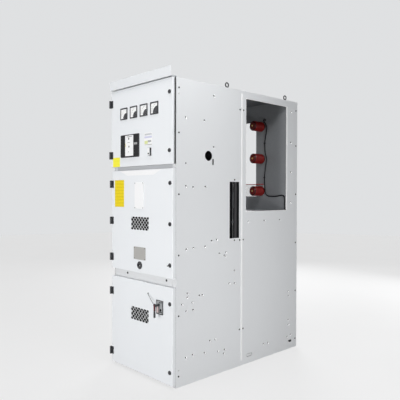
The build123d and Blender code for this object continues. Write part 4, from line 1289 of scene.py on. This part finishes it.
@dataclass
class RelayFace:
    """Front of the wide relay: rim, white card with plain marks, yellow strip and small display."""

    rim_inset: float = 3.0 * MM
    rim_height: float = 0.8 * MM
    marks: tuple[tuple[str, Spot, Spot, Finish], ...] = (
        ("bar", (-166, 1897.5), (-90, 1901), Finish.BLACK_MARK),
        ("block", (-141, 1876), (-127, 1892), Finish.BLACK_MARK),
        ("lower_block", (-137, 1812), (-124, 1826), Finish.BLACK_MARK),
        ("thin_bar", (-152, 1851), (-118, 1853.5), Finish.BLACK_MARK),
        ("foot_bar", (-146, 1776), (-128, 1778.5), Finish.BLACK_MARK),
        ("yellow_strip", (-183, 1819), (-178, 1844), Finish.YELLOW_CARD),
    )

    def build(self) -> None:
        """Build the relay's front."""
        front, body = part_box("protection_relay")[0][1], "upper_door"
        card = Cards(0.7 * MM)
        card.stick("relay_card", (-184.0, 1744.0), (-72.0, 1909.0), front, body, Finish.WHITE_CARD)
        for name, mark_low, mark_high, finish in self.marks:
            on_card = front - card.thickness - card.lift
            card.printed_on(1.2 * MM).stick(f"relay_{name}", mark_low, mark_high, on_card, body, finish)
        Cards(0.4 * MM).stick("relay_display", (-64, 1831), (-20, 1848), front, body, Finish.FAINT_MARK)
        self.rim(body)

    def rim(self, body: str) -> None:
        """Raised rim round the relay's front.

        Args:
            body: The body it rides on.
        """
        low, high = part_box("protection_relay")
        inset = self.rim_inset
        rim = Bench.box(
            "relay_panel_rim", (low[0] + inset, low[1] - self.rim_height, low[2] + inset),
            (high[0] - inset, low[1], high[2] - inset),
        )
        Bench.inset(rim, looks_ahead, 2.5 * MM, sink=(0.0, 0.65 * MM, 0.0))
        fit(rim, Finish.DARK_PLASTIC, body)


@dataclass
class DoorFittings:
    """Screws, cards and small pieces of the three doors."""

    frame_front: float = -750.0 * MM
    lock_x: float = 368.0 * MM
    hinge_x: float = -382.0 * MM
    lock_levels: tuple[tuple[str, tuple[float, ...]], ...] = (
        ("upper", (1760.5, 2190.5)), ("middle", (911, 1215.5, 1520)), ("lower", (115, 624)),
    )
    hinge_levels: tuple[tuple[str, tuple[float, ...]], ...] = (
        ("upper", (1759.5, 2189.5)), ("middle", (908, 1213.5, 1519)), ("lower", (110, 620)),
    )
    notice: tuple[tuple[str, Spot, Spot, Finish], ...] = (
        ("grey_bar", (66, 1892), (154, 1906), Finish.GREY_BAR),
        ("lilac_bar", (64, 1870), (156, 1885), Finish.LILAC_BAR),
        ("green_patch", (64, 1826), (106, 1850), Finish.GREEN_PATCH),
        ("strokes", (104, 1837), (148, 1852), Finish.DARK_STROKES),
        ("line", (66, 1817), (156, 1822), Finish.FAINT_MARK),
    )

    def build(self) -> None:
        """Build the fittings."""
        self.cards(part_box("upper_door")[0][1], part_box("middle_door")[0][1])
        self.plate_screws()
        self.controller()
        self.shade_pads_behind_grilles()
        self.hinge_screws()
        self.lock_cores()
        self.crank_core()
        self.seal_strips()

    def cards(self, upper: float, middle: float) -> None:
        """Yellow cards, the notice above the humidity controller, and the middle door's title strip.

        Args:
            upper: Y of the upper door's face.
            middle: Y of the middle door's face.
        """
        card = Cards()
        card.stick(
            "upper_yellow_card", (-376, 1661.5), (-274, 1740), upper, "upper_door", Finish.PALE_YELLOW_CARD
        )
        card.stick("notice_card", (60, 1812), (160, 1912), upper, "upper_door", Finish.TITLE_STRIP)
        for name, low, high, finish in self.notice:
            on_card = upper - card.thickness - card.lift
            card.printed_on(1.0 * MM).stick(f"notice_{name}", low, high, on_card, "upper_door", finish)
        card.stick(
            "middle_yellow_card", (-355, 1330), (-222, 1552), middle, "middle_door", Finish.YELLOW_CARD
        )
        foot = 1586 * MM
        strip = Bench.box("title_strip", (-280 * MM, middle - 0.6 * MM, foot), (268 * MM, middle, 1625 * MM))
        Bench.edit_faces(strip, lambda face: face.normal.z < -SQUARE_ON)
        bpy.ops.transform.resize(value=(0.63, 1.0, 1.0), center_override=(-4 * MM, middle, foot))
        Bench.leave()
        Bench.bevel_edges(strip, runs_deep, 8 * MM, 4)
        fit(strip, Finish.TITLE_STRIP, "middle_door")

    def plate_screws(self) -> None:
        """Screws in the corners of the window cover, the grey plate and the interlock plate."""
        large, small = Screws(3.6 * MM, 1.8 * MM, 0.9 * MM), Screws(3.4 * MM, 1.6 * MM, 0.8 * MM)
        for node, screw, inset, body in (
            ("window_cover", large, 6 * MM, "middle_door"), ("blank_plate", small, 8 * MM, "middle_door"),
            ("interlock_plate", small, 9 * MM, "lower_door"),
        ):
            low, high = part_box(node)
            levels = (low[2] + inset, high[2] - inset)
            places = [(x, low[1], z) for x in (low[0] + inset, high[0] - inset) for z in levels]
            screw.fit(f"{node}_screws", Face.FRONT, places, body, Finish.SCREW_DARK)

    def controller(self) -> None:
        """White front of the humidity controller, with its dial."""
        low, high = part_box("humidity_controller")
        front, margin = low[1], 1.5
        face_low = (low[0] / MM + margin, low[2] / MM + margin)
        face_high = (high[0] / MM - margin, high[2] / MM - margin)
        Cards(0.6 * MM, 1.5 * MM).stick(
            "controller_front", face_low, face_high, front, "upper_door", Finish.WHITE_CARD
        )
        dial = Bench.disc("controller_dial", 7 * MM, 3 * MM, 24)
        Bench.bevel_top(dial, 0.8 * MM, 2)
        Bench.edit_faces(dial, looks_up)
        bpy.ops.mesh.inset(thickness=2.0 * MM)
        bpy.ops.transform.resize(value=(0.3, 1.0, 1.0))
        bpy.ops.mesh.extrude_region_move(TRANSFORM_OT_translate={"value": (0.0, 0.0, 1.2 * MM)})
        Bench.leave()
        Bench.smooth(dial)
        dial.data.transform(Face.FRONT.matrix(((low[0] + high[0]) / 2, front - 0.6 * MM, low[2] + 16 * MM)))
        fit(dial, Finish.DARK_PLASTIC, "upper_door")

    def shade_pads_behind_grilles(self) -> None:
        """Black pads behind the vent grilles, a dark sheet as painted shade seen through the holes."""
        for word in ("middle", "lower"):
            node = f"{word}_vent_grille"
            low, high = (Vector(corner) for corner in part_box(node))
            back, edge = high.y + 0.2 * MM, 4 * MM
            ends = (low.x + edge, back, low.z + edge), (high.x - edge, back + 8 * MM, high.z - edge)
            pad = Bench.soft_box(f"{word}_vent_shade_pad", *ends, 1.5 * MM)
            fit(pad, Finish.FILTER_FOAM, f"{word}_door")

    def hinge_screws(self) -> None:
        """Countersunk screws in the hinge leaves of each door."""
        screw = Screws(3.2 * MM, 1.0 * MM, 0.6 * MM)
        for word, levels in self.hinge_levels:
            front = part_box(f"{word}_door")[0][1] - 4 * MM
            places = [(self.hinge_x, front, (level + shift) * MM) for level in levels for shift in (-20, 20)]
            screw.fit(f"{word}_hinge_screws", Face.FRONT, places, f"{word}_door", Finish.SCREW_DARK)

    def lock_cores(self) -> None:
        """Dished cores in the middle of the door locks, and the tilted cam bar of the lowest middle one."""
        core = Bench.knob("lock_core", 5.6 * MM, 1.6 * MM, 24, (0.6 * MM, 2), (2.4 * MM, 1.0 * MM))
        for word, levels in self.lock_levels:
            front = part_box(f"{word}_door_locks")[0][1]
            places = [Face.FRONT.matrix((self.lock_x, front, level * MM)) for level in levels]
            cores = Bench.copies(f"{word}_lock_cores", core, places, keep=True)
            fit(cores, Finish.DARK_PLASTIC, f"{word}_door")
        bpy.data.objects.remove(core)
        ends = (-33 * MM, -3.2 * MM, 0.0), (-4 * MM, 3.2 * MM, 2.6 * MM)
        bar = Bench.soft_box("lock_cam_bar", *ends, 0.8 * MM)
        Bench.smooth(bar)
        place = (self.lock_x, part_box("middle_door_locks")[0][1] + 5.5 * MM, 911 * MM)
        bar.data.transform(Face.FRONT.matrix(place) @ Matrix.Rotation(math.radians(14.0), 4, "Z"))
        fit(bar, Finish.DARK_PLASTIC, "middle_door")

    def crank_core(self) -> None:
        """Bright hexagon end of the truck's spindle, deep in the crank socket."""
        low, high = (Vector(corner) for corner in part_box("crank_socket"))
        core = Bench.disc("crank_spindle", 7.5 * MM, 9.0 * MM, 6)
        Bench.bevel_top(core, 1.0 * MM, 1)
        place = ((low.x + high.x) / 2 + 4.5 * MM, low.y + 13.5 * MM, (low.z + high.z) / 2 - 5.0 * MM)
        core.data.transform(Face.FRONT.matrix(place))
        fit(core, Finish.SCREW_BRIGHT, "middle_door")

    def seal_strips(self) -> None:
        """Pale seals between the frame and the top, free side and foot of the lower two doors, whose pale
        colour is painted light that lifts the shade in the door gaps.
        """
        back, width = self.frame_front - 0.4 * MM, 9 * MM
        for word in ("middle", "lower"):
            low, high = (Vector(corner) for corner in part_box(f"{word}_door"))
            inner, outer = low.x + 40 * MM, high.x - 1.0 * MM
            bars = (
                ((inner, high.y, high.z - width), (outer, back, high.z - 1 * MM)),
                ((outer - 8 * MM, high.y, low.z + width), (outer, back, high.z - width)),
                ((inner, high.y, low.z + 1 * MM), (outer, back, low.z + width)),
            )
            strips = [coat(Bench.soft_box("seal", *ends, 1.2 * MM), Finish.PALE_SEAL) for ends in bars]
            mount(Bench.join(f"{word}_door_seal_strips", strips), f"{word}_door")


@dataclass
class Interlock:
    """Details of the interlock: handle sleeve, tag, plate rim with its bars, barrel, chain and ring."""

    chain_start: Spot = (105.0, 667.0)
    link_length: float = 9.0 * MM
    link_width: float = 5.4 * MM
    wire: float = 1.5 * MM
    sag: float = 0.035
    steps: int = 400

    def build(self) -> None:
        """Build the interlock's details."""
        self.sleeve()
        self.plate_details()
        self.chain()

    def sleeve(self) -> None:
        """Red sleeve on the upper half of the handle's bar."""
        low, high = (Vector(corner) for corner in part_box("interlock_handle"))
        centre_x = (low.x + high.x) / 2
        width, depth, skin = 6.5 * MM, 10.0 * MM, 0.3 * MM
        sleeve = Bench.box(
            "handle_sleeve", (centre_x - width - skin, low.y - skin, high.z - 52 * MM),
            (centre_x + width + skin, low.y + depth * 0.4, high.z - 7 * MM),
        )
        Bench.inset(sleeve, looks_ahead, 2.0 * MM, move=(0.0, -0.2 * MM, 0.0))
        Bench.soften(sleeve, 0.8 * MM, 2)
        fit(sleeve, Finish.RED_PLASTIC, "interlock_handle")

    def plate_details(self) -> None:
        """Pale tag on the plate beside the handle, the plate's rim and bars, and the lock's barrel."""
        low, high = (Vector(corner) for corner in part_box("interlock_plate"))
        tag = Bench.box(
            "interlock_tag", (low.x + 6 * MM, low.y - 1.2 * MM, low.z + 12 * MM),
            (low.x + 28 * MM, low.y, low.z + 56 * MM),
        )
        Bench.bevel_edges(tag, runs_deep, 7 * MM, 5)
        Bench.edit_faces(tag, looks_ahead)
        bpy.ops.mesh.inset(thickness=1.5 * MM, depth=-0.4 * MM)
        Bench.leave()
        fit(tag, Finish.PINK_TAG, "lower_door")
        rim = Bench.box("interlock_plate_rim", (low.x, low.y - 1.4 * MM, low.z), (high.x, low.y, high.z))
        Bench.hoop(rim, lambda face: abs(face.normal.y) > SQUARE_ON, 4.5 * MM)
        Bench.soften(rim, 0.4 * MM, 1)
        bars = [
            Bench.soft_box(
                "plate_bar", (low.x + 34 * MM, low.y - 1.0 * MM, low.z + level * MM),
                (high.x - 9 * MM, low.y, low.z + (level + 5) * MM), 0.4 * MM, 1,
            )
            for level in (16.0, 88.0)
        ]
        rim = Bench.join("interlock_plate_rim", [rim, *bars])
        fit(rim, Finish.DARK_PLASTIC, "lower_door")
        barrel = Bench.knob("interlock_barrel", 10 * MM, 3.0 * MM, 28, (1.0 * MM, 2), (3.0 * MM, 1.2 * MM))
        barrel.data.transform(Face.FRONT.matrix((high.x - 24 * MM, low.y, low.z + 34 * MM)))
        fit(barrel, Finish.DARK_PLASTIC, "lower_door")

    @staticmethod
    def torus(rings: int, sides: int, radius: float, wire: float) -> bpy.types.Object:
        """Closed ring of round wire at the origin.

        Args:
            rings: Steps round the ring.
            sides: Steps round the wire.
            radius: Radius to the middle of the wire, in metres.
            wire: Radius of the wire, in metres.

        Returns:
            The ring.
        """
        Bench.clear()
        bpy.ops.mesh.primitive_torus_add(
            major_segments=rings, minor_segments=sides, major_radius=radius, minor_radius=wire
        )
        return bpy.context.object

    @staticmethod
    def stretch(ring: bpy.types.Object, chosen: FaceTest, way: float) -> None:
        """Move the chosen faces of a ring along X."""
        Bench.edit_faces(ring, chosen)
        bpy.ops.transform.translate(value=(way, 0.0, 0.0))
        Bench.leave()

    def chain(self) -> None:
        """Chain of small oval links from a button on the door to a ring round the handle's hub."""
        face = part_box("lower_door")[0][1]
        low, high = (Vector(corner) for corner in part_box("interlock_handle"))
        middle = (low.x + high.x) / 2
        hub = Vector((middle - 12 * MM, low.y + 14 * MM, high.z - 17 * MM))
        start = Vector((self.chain_start[0] * MM, face - 5 * MM, self.chain_start[1] * MM))
        button = Bench.knob("chain_button", 4.5 * MM, 6 * MM, 20, (2.0 * MM, 3))
        button.data.transform(Face.FRONT.matrix((start.x, face, start.z)))
        fit(button, Finish.CHAIN, "lower_door")
        link = self.torus(14, 6, (self.link_width - self.wire) / 2, self.wire / 2)
        way = (self.link_length - self.link_width) / 2
        self.stretch(link, lambda polygon: polygon.center.x > 0, way)
        self.stretch(link, lambda polygon: polygon.center.x < 0, -way)
        Bench.smooth(link, 60.0)
        links = Bench.copies("interlock_chain", link, self.link_places(start, hub))
        fit(links, Finish.CHAIN, "lower_door")
        ring = self.torus(32, 8, 11.2 * MM, 1.0 * MM)
        ring.name = "chain_ring"
        self.stretch(ring, lambda polygon: polygon.center.x < -9 * MM, -0.8 * MM)
        Bench.smooth(ring, 60.0)
        ring.data.transform(Face.FRONT.matrix((middle, hub.y, high.z - 18 * MM)))
        fit(ring, Finish.CHAIN, "lower_door")

    def link_places(self, start: Vector, end: Vector) -> list[Matrix]:
        """Places of the links along a slack line between two points.

        Args:
            start: Upper end.
            end: Lower end.

        Returns:
            One matrix a link, each turned a quarter from the last.
        """
        pitch = self.link_length - 2 * self.wire
        drop = (end - start).length * self.sag
        line = []
        for step in range(self.steps + 1):
            share = step / self.steps
            point = start.lerp(end, share)
            point.z -= 4 * drop * share * (1 - share)
            line.append(point)
        places: list[Matrix] = []
        walked, wanted = 0.0, pitch / 2
        for before, after in zip(line, line[1:]):
            walked += (after - before).length
            if walked >= wanted:
                along = (after - before).normalized()
                turn = along.to_track_quat("X", "Z").to_matrix().to_4x4()
                quarter = Matrix.Rotation(math.radians(90.0 * (len(places) % 2) + 45.0), 4, "X")
                places.append(Matrix.Translation(after) @ turn @ quarter)
                wanted += pitch
        return places


@dataclass
class BusbarSpace:
    """Details behind the side opening: brass inserts, trim of the barrier sheet, lead clips."""

    clip_spots: tuple[Spot, ...] = ((132.7, 1926.8), (130.3, 1596.6))

    def build(self) -> None:
        """Build the details."""
        low, high = (Vector(corner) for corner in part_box("post_insulators"))
        radius = (high.x - low.x) / 2
        levels = [low.z + radius, (low.z + high.z) / 2, high.z - radius]
        insert = Bench.knob("brass_insert", 9.0 * MM, 1.5 * MM, 28, (0.5 * MM, 1), (3.2 * MM, 1.3 * MM))
        places = [Face.FRONT.matrix(((low.x + high.x) / 2, low.y, level)) for level in levels]
        fit(Bench.copies("insulator_inserts", insert, places), Finish.BRASS, "cabinet")
        self.barrier_trim()
        self.lead_clips()

    def barrier_trim(self) -> None:
        """Red trim along the top of the barrier sheet, and the pale stile at its free end."""
        low, high = (Vector(corner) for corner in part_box("barrier_sheet"))
        edge = Bench.soft_box(
            "barrier_edge", (low.x, low.y - 1.5 * MM, high.z - 5 * MM),
            (high.x, high.y - 1.0 * MM, high.z + 1.5 * MM), 0.7 * MM,
        )
        fit(edge, Finish.RED_EDGE, "cabinet")
        stile = Bench.soft_box(
            "barrier_stile", (high.x - 3.5 * MM, low.y - 1.2 * MM, low.z + 30 * MM),
            (high.x, high.y - 0.5 * MM, high.z - 5 * MM), 0.6 * MM,
        )
        fit(stile, Finish.WHITE_CARD, "cabinet")

    def lead_clips(self) -> None:
        """Saddle clips that hold the lead on the busbar wall."""
        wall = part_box("busbar_wall")[0][1]
        clip = Bench.box("lead_clip", (-9 * MM, -4 * MM, 0.0), (9 * MM, 4 * MM, 10.6 * MM))
        raised = 10 * MM
        Bench.bevel_edges(
            clip, lambda a, b: a.z > raised and b.z > raised and abs(a.y - b.y) > TOUCH, 6 * MM, 5
        )
        Bench.smooth(clip)
        places = [Face.FRONT.matrix((x * MM, wall, z * MM)) for x, z in self.clip_spots]
        fit(Bench.copies("lead_clips", clip, places), Finish.DARK_PLASTIC, "cabinet")


@dataclass
class SideTrim:
    """Edging of the side openings, whitened as a painted highlight, plugs of the base slots, and the guide in
    the tall slot.
    """

    half_width: float = 400.0 * MM
    oval_place: Spot = (75.0, 67.0)
    oval_size: Spot = (70.0, 26.0)
    gap: float = 3.2 * MM
    guide_x: float = 378.0 * MM
    guide_levels: Spot = (990.0, 1545.0)
    latch_levels: Spot = (1325.0, 1452.0)
    roller_level: float = 1206.0
    opening: tuple[Spot, Spot] = ((20.5, 1287.5), (596.5, 2245.5))
    edging_width: float = 5.0 * MM
    edging_depth: float = 12.0 * MM

    def build(self) -> None:
        """Build the trim of both sides."""
        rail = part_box("shutter_rails")[0][1]
        for side, word in ((1, "right"), (-1, "left")):
            self.edging(side, word)
            self.plug(side, word)
            self.guide(side, word, rail)

    @staticmethod
    def slab(name: str, ends: Spot, low: Spot, high: Spot) -> bpy.types.Object:
        """Cube across a side sheet.

        Args:
            name: The piece's name.
            ends: X of its two ends, in any order.
            low: Its lowest y and z.
            high: Its highest y and z.

        Returns:
            The cube.
        """
        return Bench.box(name, (min(ends), *low), (max(ends), *high))

    def edging(self, side: int, word: str) -> None:
        """Folded edge round the opening of the rear side panel, whiter than the panel's paint as a painted
        highlight along the opening.

        Args:
            side: 1 for the right, -1 for the left.
            word: The side's word in the piece's name.
        """
        ends = side * (self.half_width + 0.2 * MM), side * (self.half_width - self.edging_depth)
        low, high = ((y * MM, z * MM) for y, z in self.opening)
        edging = self.slab(f"{word}_opening_highlight_edging", ends, low, high)
        Bench.hoop(edging, lambda face: abs(face.normal.x) > SQUARE_ON, self.edging_width)
        Bench.soften(edging, 1.6 * MM, 3)
        fit(edging, Finish.EDGING, "cabinet")

    def plug(self, side: int, word: str) -> None:
        """Rounded plug that closes the oval slot, with a narrow gap all round.

        Args:
            side: 1 for the right, -1 for the left.
            word: The side's word in the piece's name.
        """
        depth, level = (value * MM for value in self.oval_place)
        half_long, half_high = (size * MM / 2 - self.gap for size in self.oval_size)
        ends = side * (self.half_width - 0.4 * MM), side * (self.half_width - 10.0 * MM)
        low, high = (depth - half_long, level - half_high), (depth + half_long, level + half_high)
        plug = self.slab(f"{word}_base_plug", ends, low, high)
        Bench.bevel_edges(plug, lambda a, b: abs(a.x - b.x) > 0.1 * MM, half_high * 0.98, 8)
        outward = (side * 0.3 * MM, 0.0, 0.0)
        Bench.inset(plug, lambda face: face.normal.x * side > SQUARE_ON, 1.2 * MM, move=outward)
        Bench.smooth(plug)
        fit(plug, Finish.PLUG_PLASTIC, "cabinet")

    def guide(self, side: int, word: str, rail: float) -> None:
        """Bright guide wire, latch plate and roller on the front of a shutter rail.

        Args:
            side: 1 for the right, -1 for the left.
            word: The side's word in the piece's name.
            rail: Y of the rail's front.
        """
        middle = side * self.guide_x
        low, high = (level * MM for level in self.guide_levels)
        ends = (middle - 1.3 * MM, rail - 3.0 * MM, low), (middle + 1.3 * MM, rail, high)
        wire = coat(Bench.soft_box("guide_wire", *ends, 0.6 * MM), Finish.GUIDE_STEEL)
        low, high = (level * MM for level in self.latch_levels)
        ends = (middle - 4.0 * MM, rail - 5.0 * MM, low), (middle + 9.0 * MM, rail, high)
        latch = Bench.box("guide_latch", *ends)
        Bench.inset(latch, looks_ahead, 2.5 * MM, sink=(0.0, 1.5 * MM, 0.0))
        Bench.soften(latch, 0.5 * MM, 1)
        roller = Bench.knob("roller", 9.0 * MM, 12.0 * MM, 28, (2.0 * MM, 3), (3.5 * MM, 1.5 * MM))
        roller.data.transform(Face.FRONT.matrix((middle, rail, self.roller_level * MM)))
        steel = [coat(piece, Finish.LATCH_STEEL) for piece in (latch, roller)]
        mount(Bench.join(f"{word}_shutter_guide", [wire, *steel]), "cabinet")


@dataclass
class FrameFasteners:
    """Screws of the crossbars, the roof flaps and the rear cover."""

    front: float = -750.0 * MM
    cover_inset: float = 10.0 * MM
    roof_inset: float = 16.0 * MM
    cover_shares: tuple[float, ...] = (0.02, 0.26, 0.5, 0.74, 0.98)
    roof_shares: tuple[float, ...] = (0.02, 0.16, 0.33, 0.40, 0.50, 0.60, 0.67, 0.82, 0.98)

    def build(self) -> None:
        """Fit the screws."""
        crossbar = [(-212 * MM, self.front, 785 * MM), (292 * MM, self.front, 787 * MM)]
        Screws(9.0 * MM, 4.0 * MM).fit("crossbar_screws", Face.FRONT, crossbar, "cabinet", Finish.SCREW_DARK)
        low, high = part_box("rear_cover")
        edges = (low[0] + self.cover_inset, high[0] - self.cover_inset)
        levels = [low[2] + share * (high[2] - low[2]) for share in self.cover_shares]
        sides = [(x, high[1], level) for x in edges for level in levels]
        rear = Screws(6.8 * MM, 1.6 * MM, 0.9 * MM)
        rear.fit("rear_cover_screws", Face.REAR, sides, "cabinet", Finish.SCREW_DARK)
        low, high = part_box("relief_flaps")
        edges = (low[0] + self.roof_inset, high[0] - self.roof_inset)
        depths = [low[1] + share * (high[1] - low[1]) for share in self.roof_shares]
        roof = [(x, depth, high[2]) for x in edges for depth in depths]
        Screws().fit("roof_flap_screws", Face.ROOF, roof, "cabinet", Finish.SCREW_BRIGHT)


@dataclass
class Studio:
    """Floor, lights, world and camera."""

    camera_place: Point = (3.1592, -3.1099, 1.4452)
    yaw: float = 46.677
    pitch: float = 0.795
    roll: float = 0.137
    lens: float = 44.366
    world_strength: float = 0.10

    def build(self) -> None:
        """Build the studio."""
        self.camera()
        self.floor()
        self.world()
        self.lamp("front_lamp", (0.5, -5.3, 0.9), (0.0, -0.75, 1.0), 1.9, 176.0)
        self.lamp("top_lamp", (0.0, -1.6, 4.6), (0.0, -0.75, 0.9), 0.8, 35.0)
        self.lamp("side_lamp", (3.2, -0.6, 0.45), (0.4, -0.4, 1.15), 0.8, 44.0)
        self.lamp("upper_lamp", (1.5, -0.85, 3.1), (0.4, -0.3, 1.3), 0.6, 15.5)
        self.lamp("back_lamp", (-3.6, 4.2, 2.6), (0.0, 0.2, 1.2), 2.6, 150.0)
        self.lamp("rear_lamp", (0.1, 5.2, 1.8), (0.0, 0.75, 1.2), 1.6, 70.0)

    def camera(self) -> None:
        """Place the camera at the photograph's view."""
        data = bpy.data.cameras.new("camera")
        data.lens = self.lens
        data.sensor_width = 36.0
        camera = bpy.data.objects.new("camera", data)
        turn = Matrix.Rotation(math.radians(self.yaw), 4, "Z")
        turn = turn @ Matrix.Rotation(math.radians(90.0 - self.pitch), 4, "X")
        turn = turn @ Matrix.Rotation(math.radians(self.roll), 4, "Z")
        camera.matrix_world = Matrix.Translation(Vector(self.camera_place)) @ turn
        bpy.context.scene.collection.objects.link(camera)
        bpy.context.scene.camera = camera

    def floor(self) -> None:
        """Broad pale floor, a thin disc."""
        Bench.clear()
        bpy.ops.mesh.primitive_cylinder_add(
            vertices=64, radius=14.0, depth=0.02, location=(0.0, 0.0, -0.0105)
        )
        floor = bpy.context.object
        floor.name = "studio_floor"
        bpy.ops.object.transform_apply(location=True, rotation=True, scale=True)
        coat(floor, Finish.FLOOR)

    def world(self) -> None:
        """Even world, white to the camera and in reflections."""
        world = bpy.data.worlds.new("studio_world")
        bpy.context.scene.world = world
        world.use_nodes = True
        tree = world.node_tree
        tree.nodes.clear()
        output = tree.nodes.new("ShaderNodeOutputWorld")
        even = tree.nodes.new("ShaderNodeBackground")
        even.inputs["Color"].default_value = (0.93, 0.96, 1.0, 1.0)
        even.inputs["Strength"].default_value = self.world_strength
        white = tree.nodes.new("ShaderNodeBackground")
        white.inputs["Color"].default_value = (0.74, 0.75, 0.76, 1.0)
        white.inputs["Strength"].default_value = 1.0
        rays = tree.nodes.new("ShaderNodeLightPath")
        seen = rays.outputs["Is Camera Ray"]
        for kind in ("Is Glossy Ray", "Is Transmission Ray"):
            either = tree.nodes.new("ShaderNodeMath")
            either.operation = "MAXIMUM"
            tree.links.new(seen, either.inputs[0])
            tree.links.new(rays.outputs[kind], either.inputs[1])
            seen = either.outputs[0]
        mix = tree.nodes.new("ShaderNodeMixShader")
        tree.links.new(seen, mix.inputs[0])
        tree.links.new(even.outputs[0], mix.inputs[1])
        tree.links.new(white.outputs[0], mix.inputs[2])
        tree.links.new(mix.outputs[0], output.inputs[0])

    @staticmethod
    def lamp(name: str, place: Point, target: Point, size: float, power: float) -> None:
        """Add a soft square lamp.

        Args:
            name: The lamp's name.
            place: Where it stands.
            target: What it points at.
            size: Its side, in metres.
            power: Its power, in watts.
        """
        data = bpy.data.lights.new(name, "AREA")
        data.shape = "SQUARE"
        data.size = size
        data.energy = power
        lamp = bpy.data.objects.new(name, data)
        lamp.location = place
        lamp.rotation_euler = (Vector(target) - Vector(place)).to_track_quat("-Z", "Y").to_euler()
        bpy.context.scene.collection.objects.link(lamp)


def dress_frame() -> None:
    """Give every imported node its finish."""
    for finish, names in NODE_FINISHES.items():
        for name in names:
            coat(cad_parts[name], finish)
            LOG.info("%s is finished in %s", name, finish.value.name)


def main() -> None:
    """Build the dressed cabinet."""
    logging.basicConfig(level=logging.INFO, format="%(name)s: %(message)s")
    bpy.context.scene.view_settings.view_transform = "Standard"
    Studio().build()
    dress_frame()
    sub_assemblies = (
        SidePanels(), SideTrim(), FrameFasteners(), DoorFittings(), PanelMeters(), RelayFace(), Interlock(),
        BusbarSpace(),
    )
    for assembly in sub_assemblies:
        assembly.build()
        LOG.info("%s built", type(assembly).__name__)
    Bench.clear()


if __name__ == "__main__":
    main()
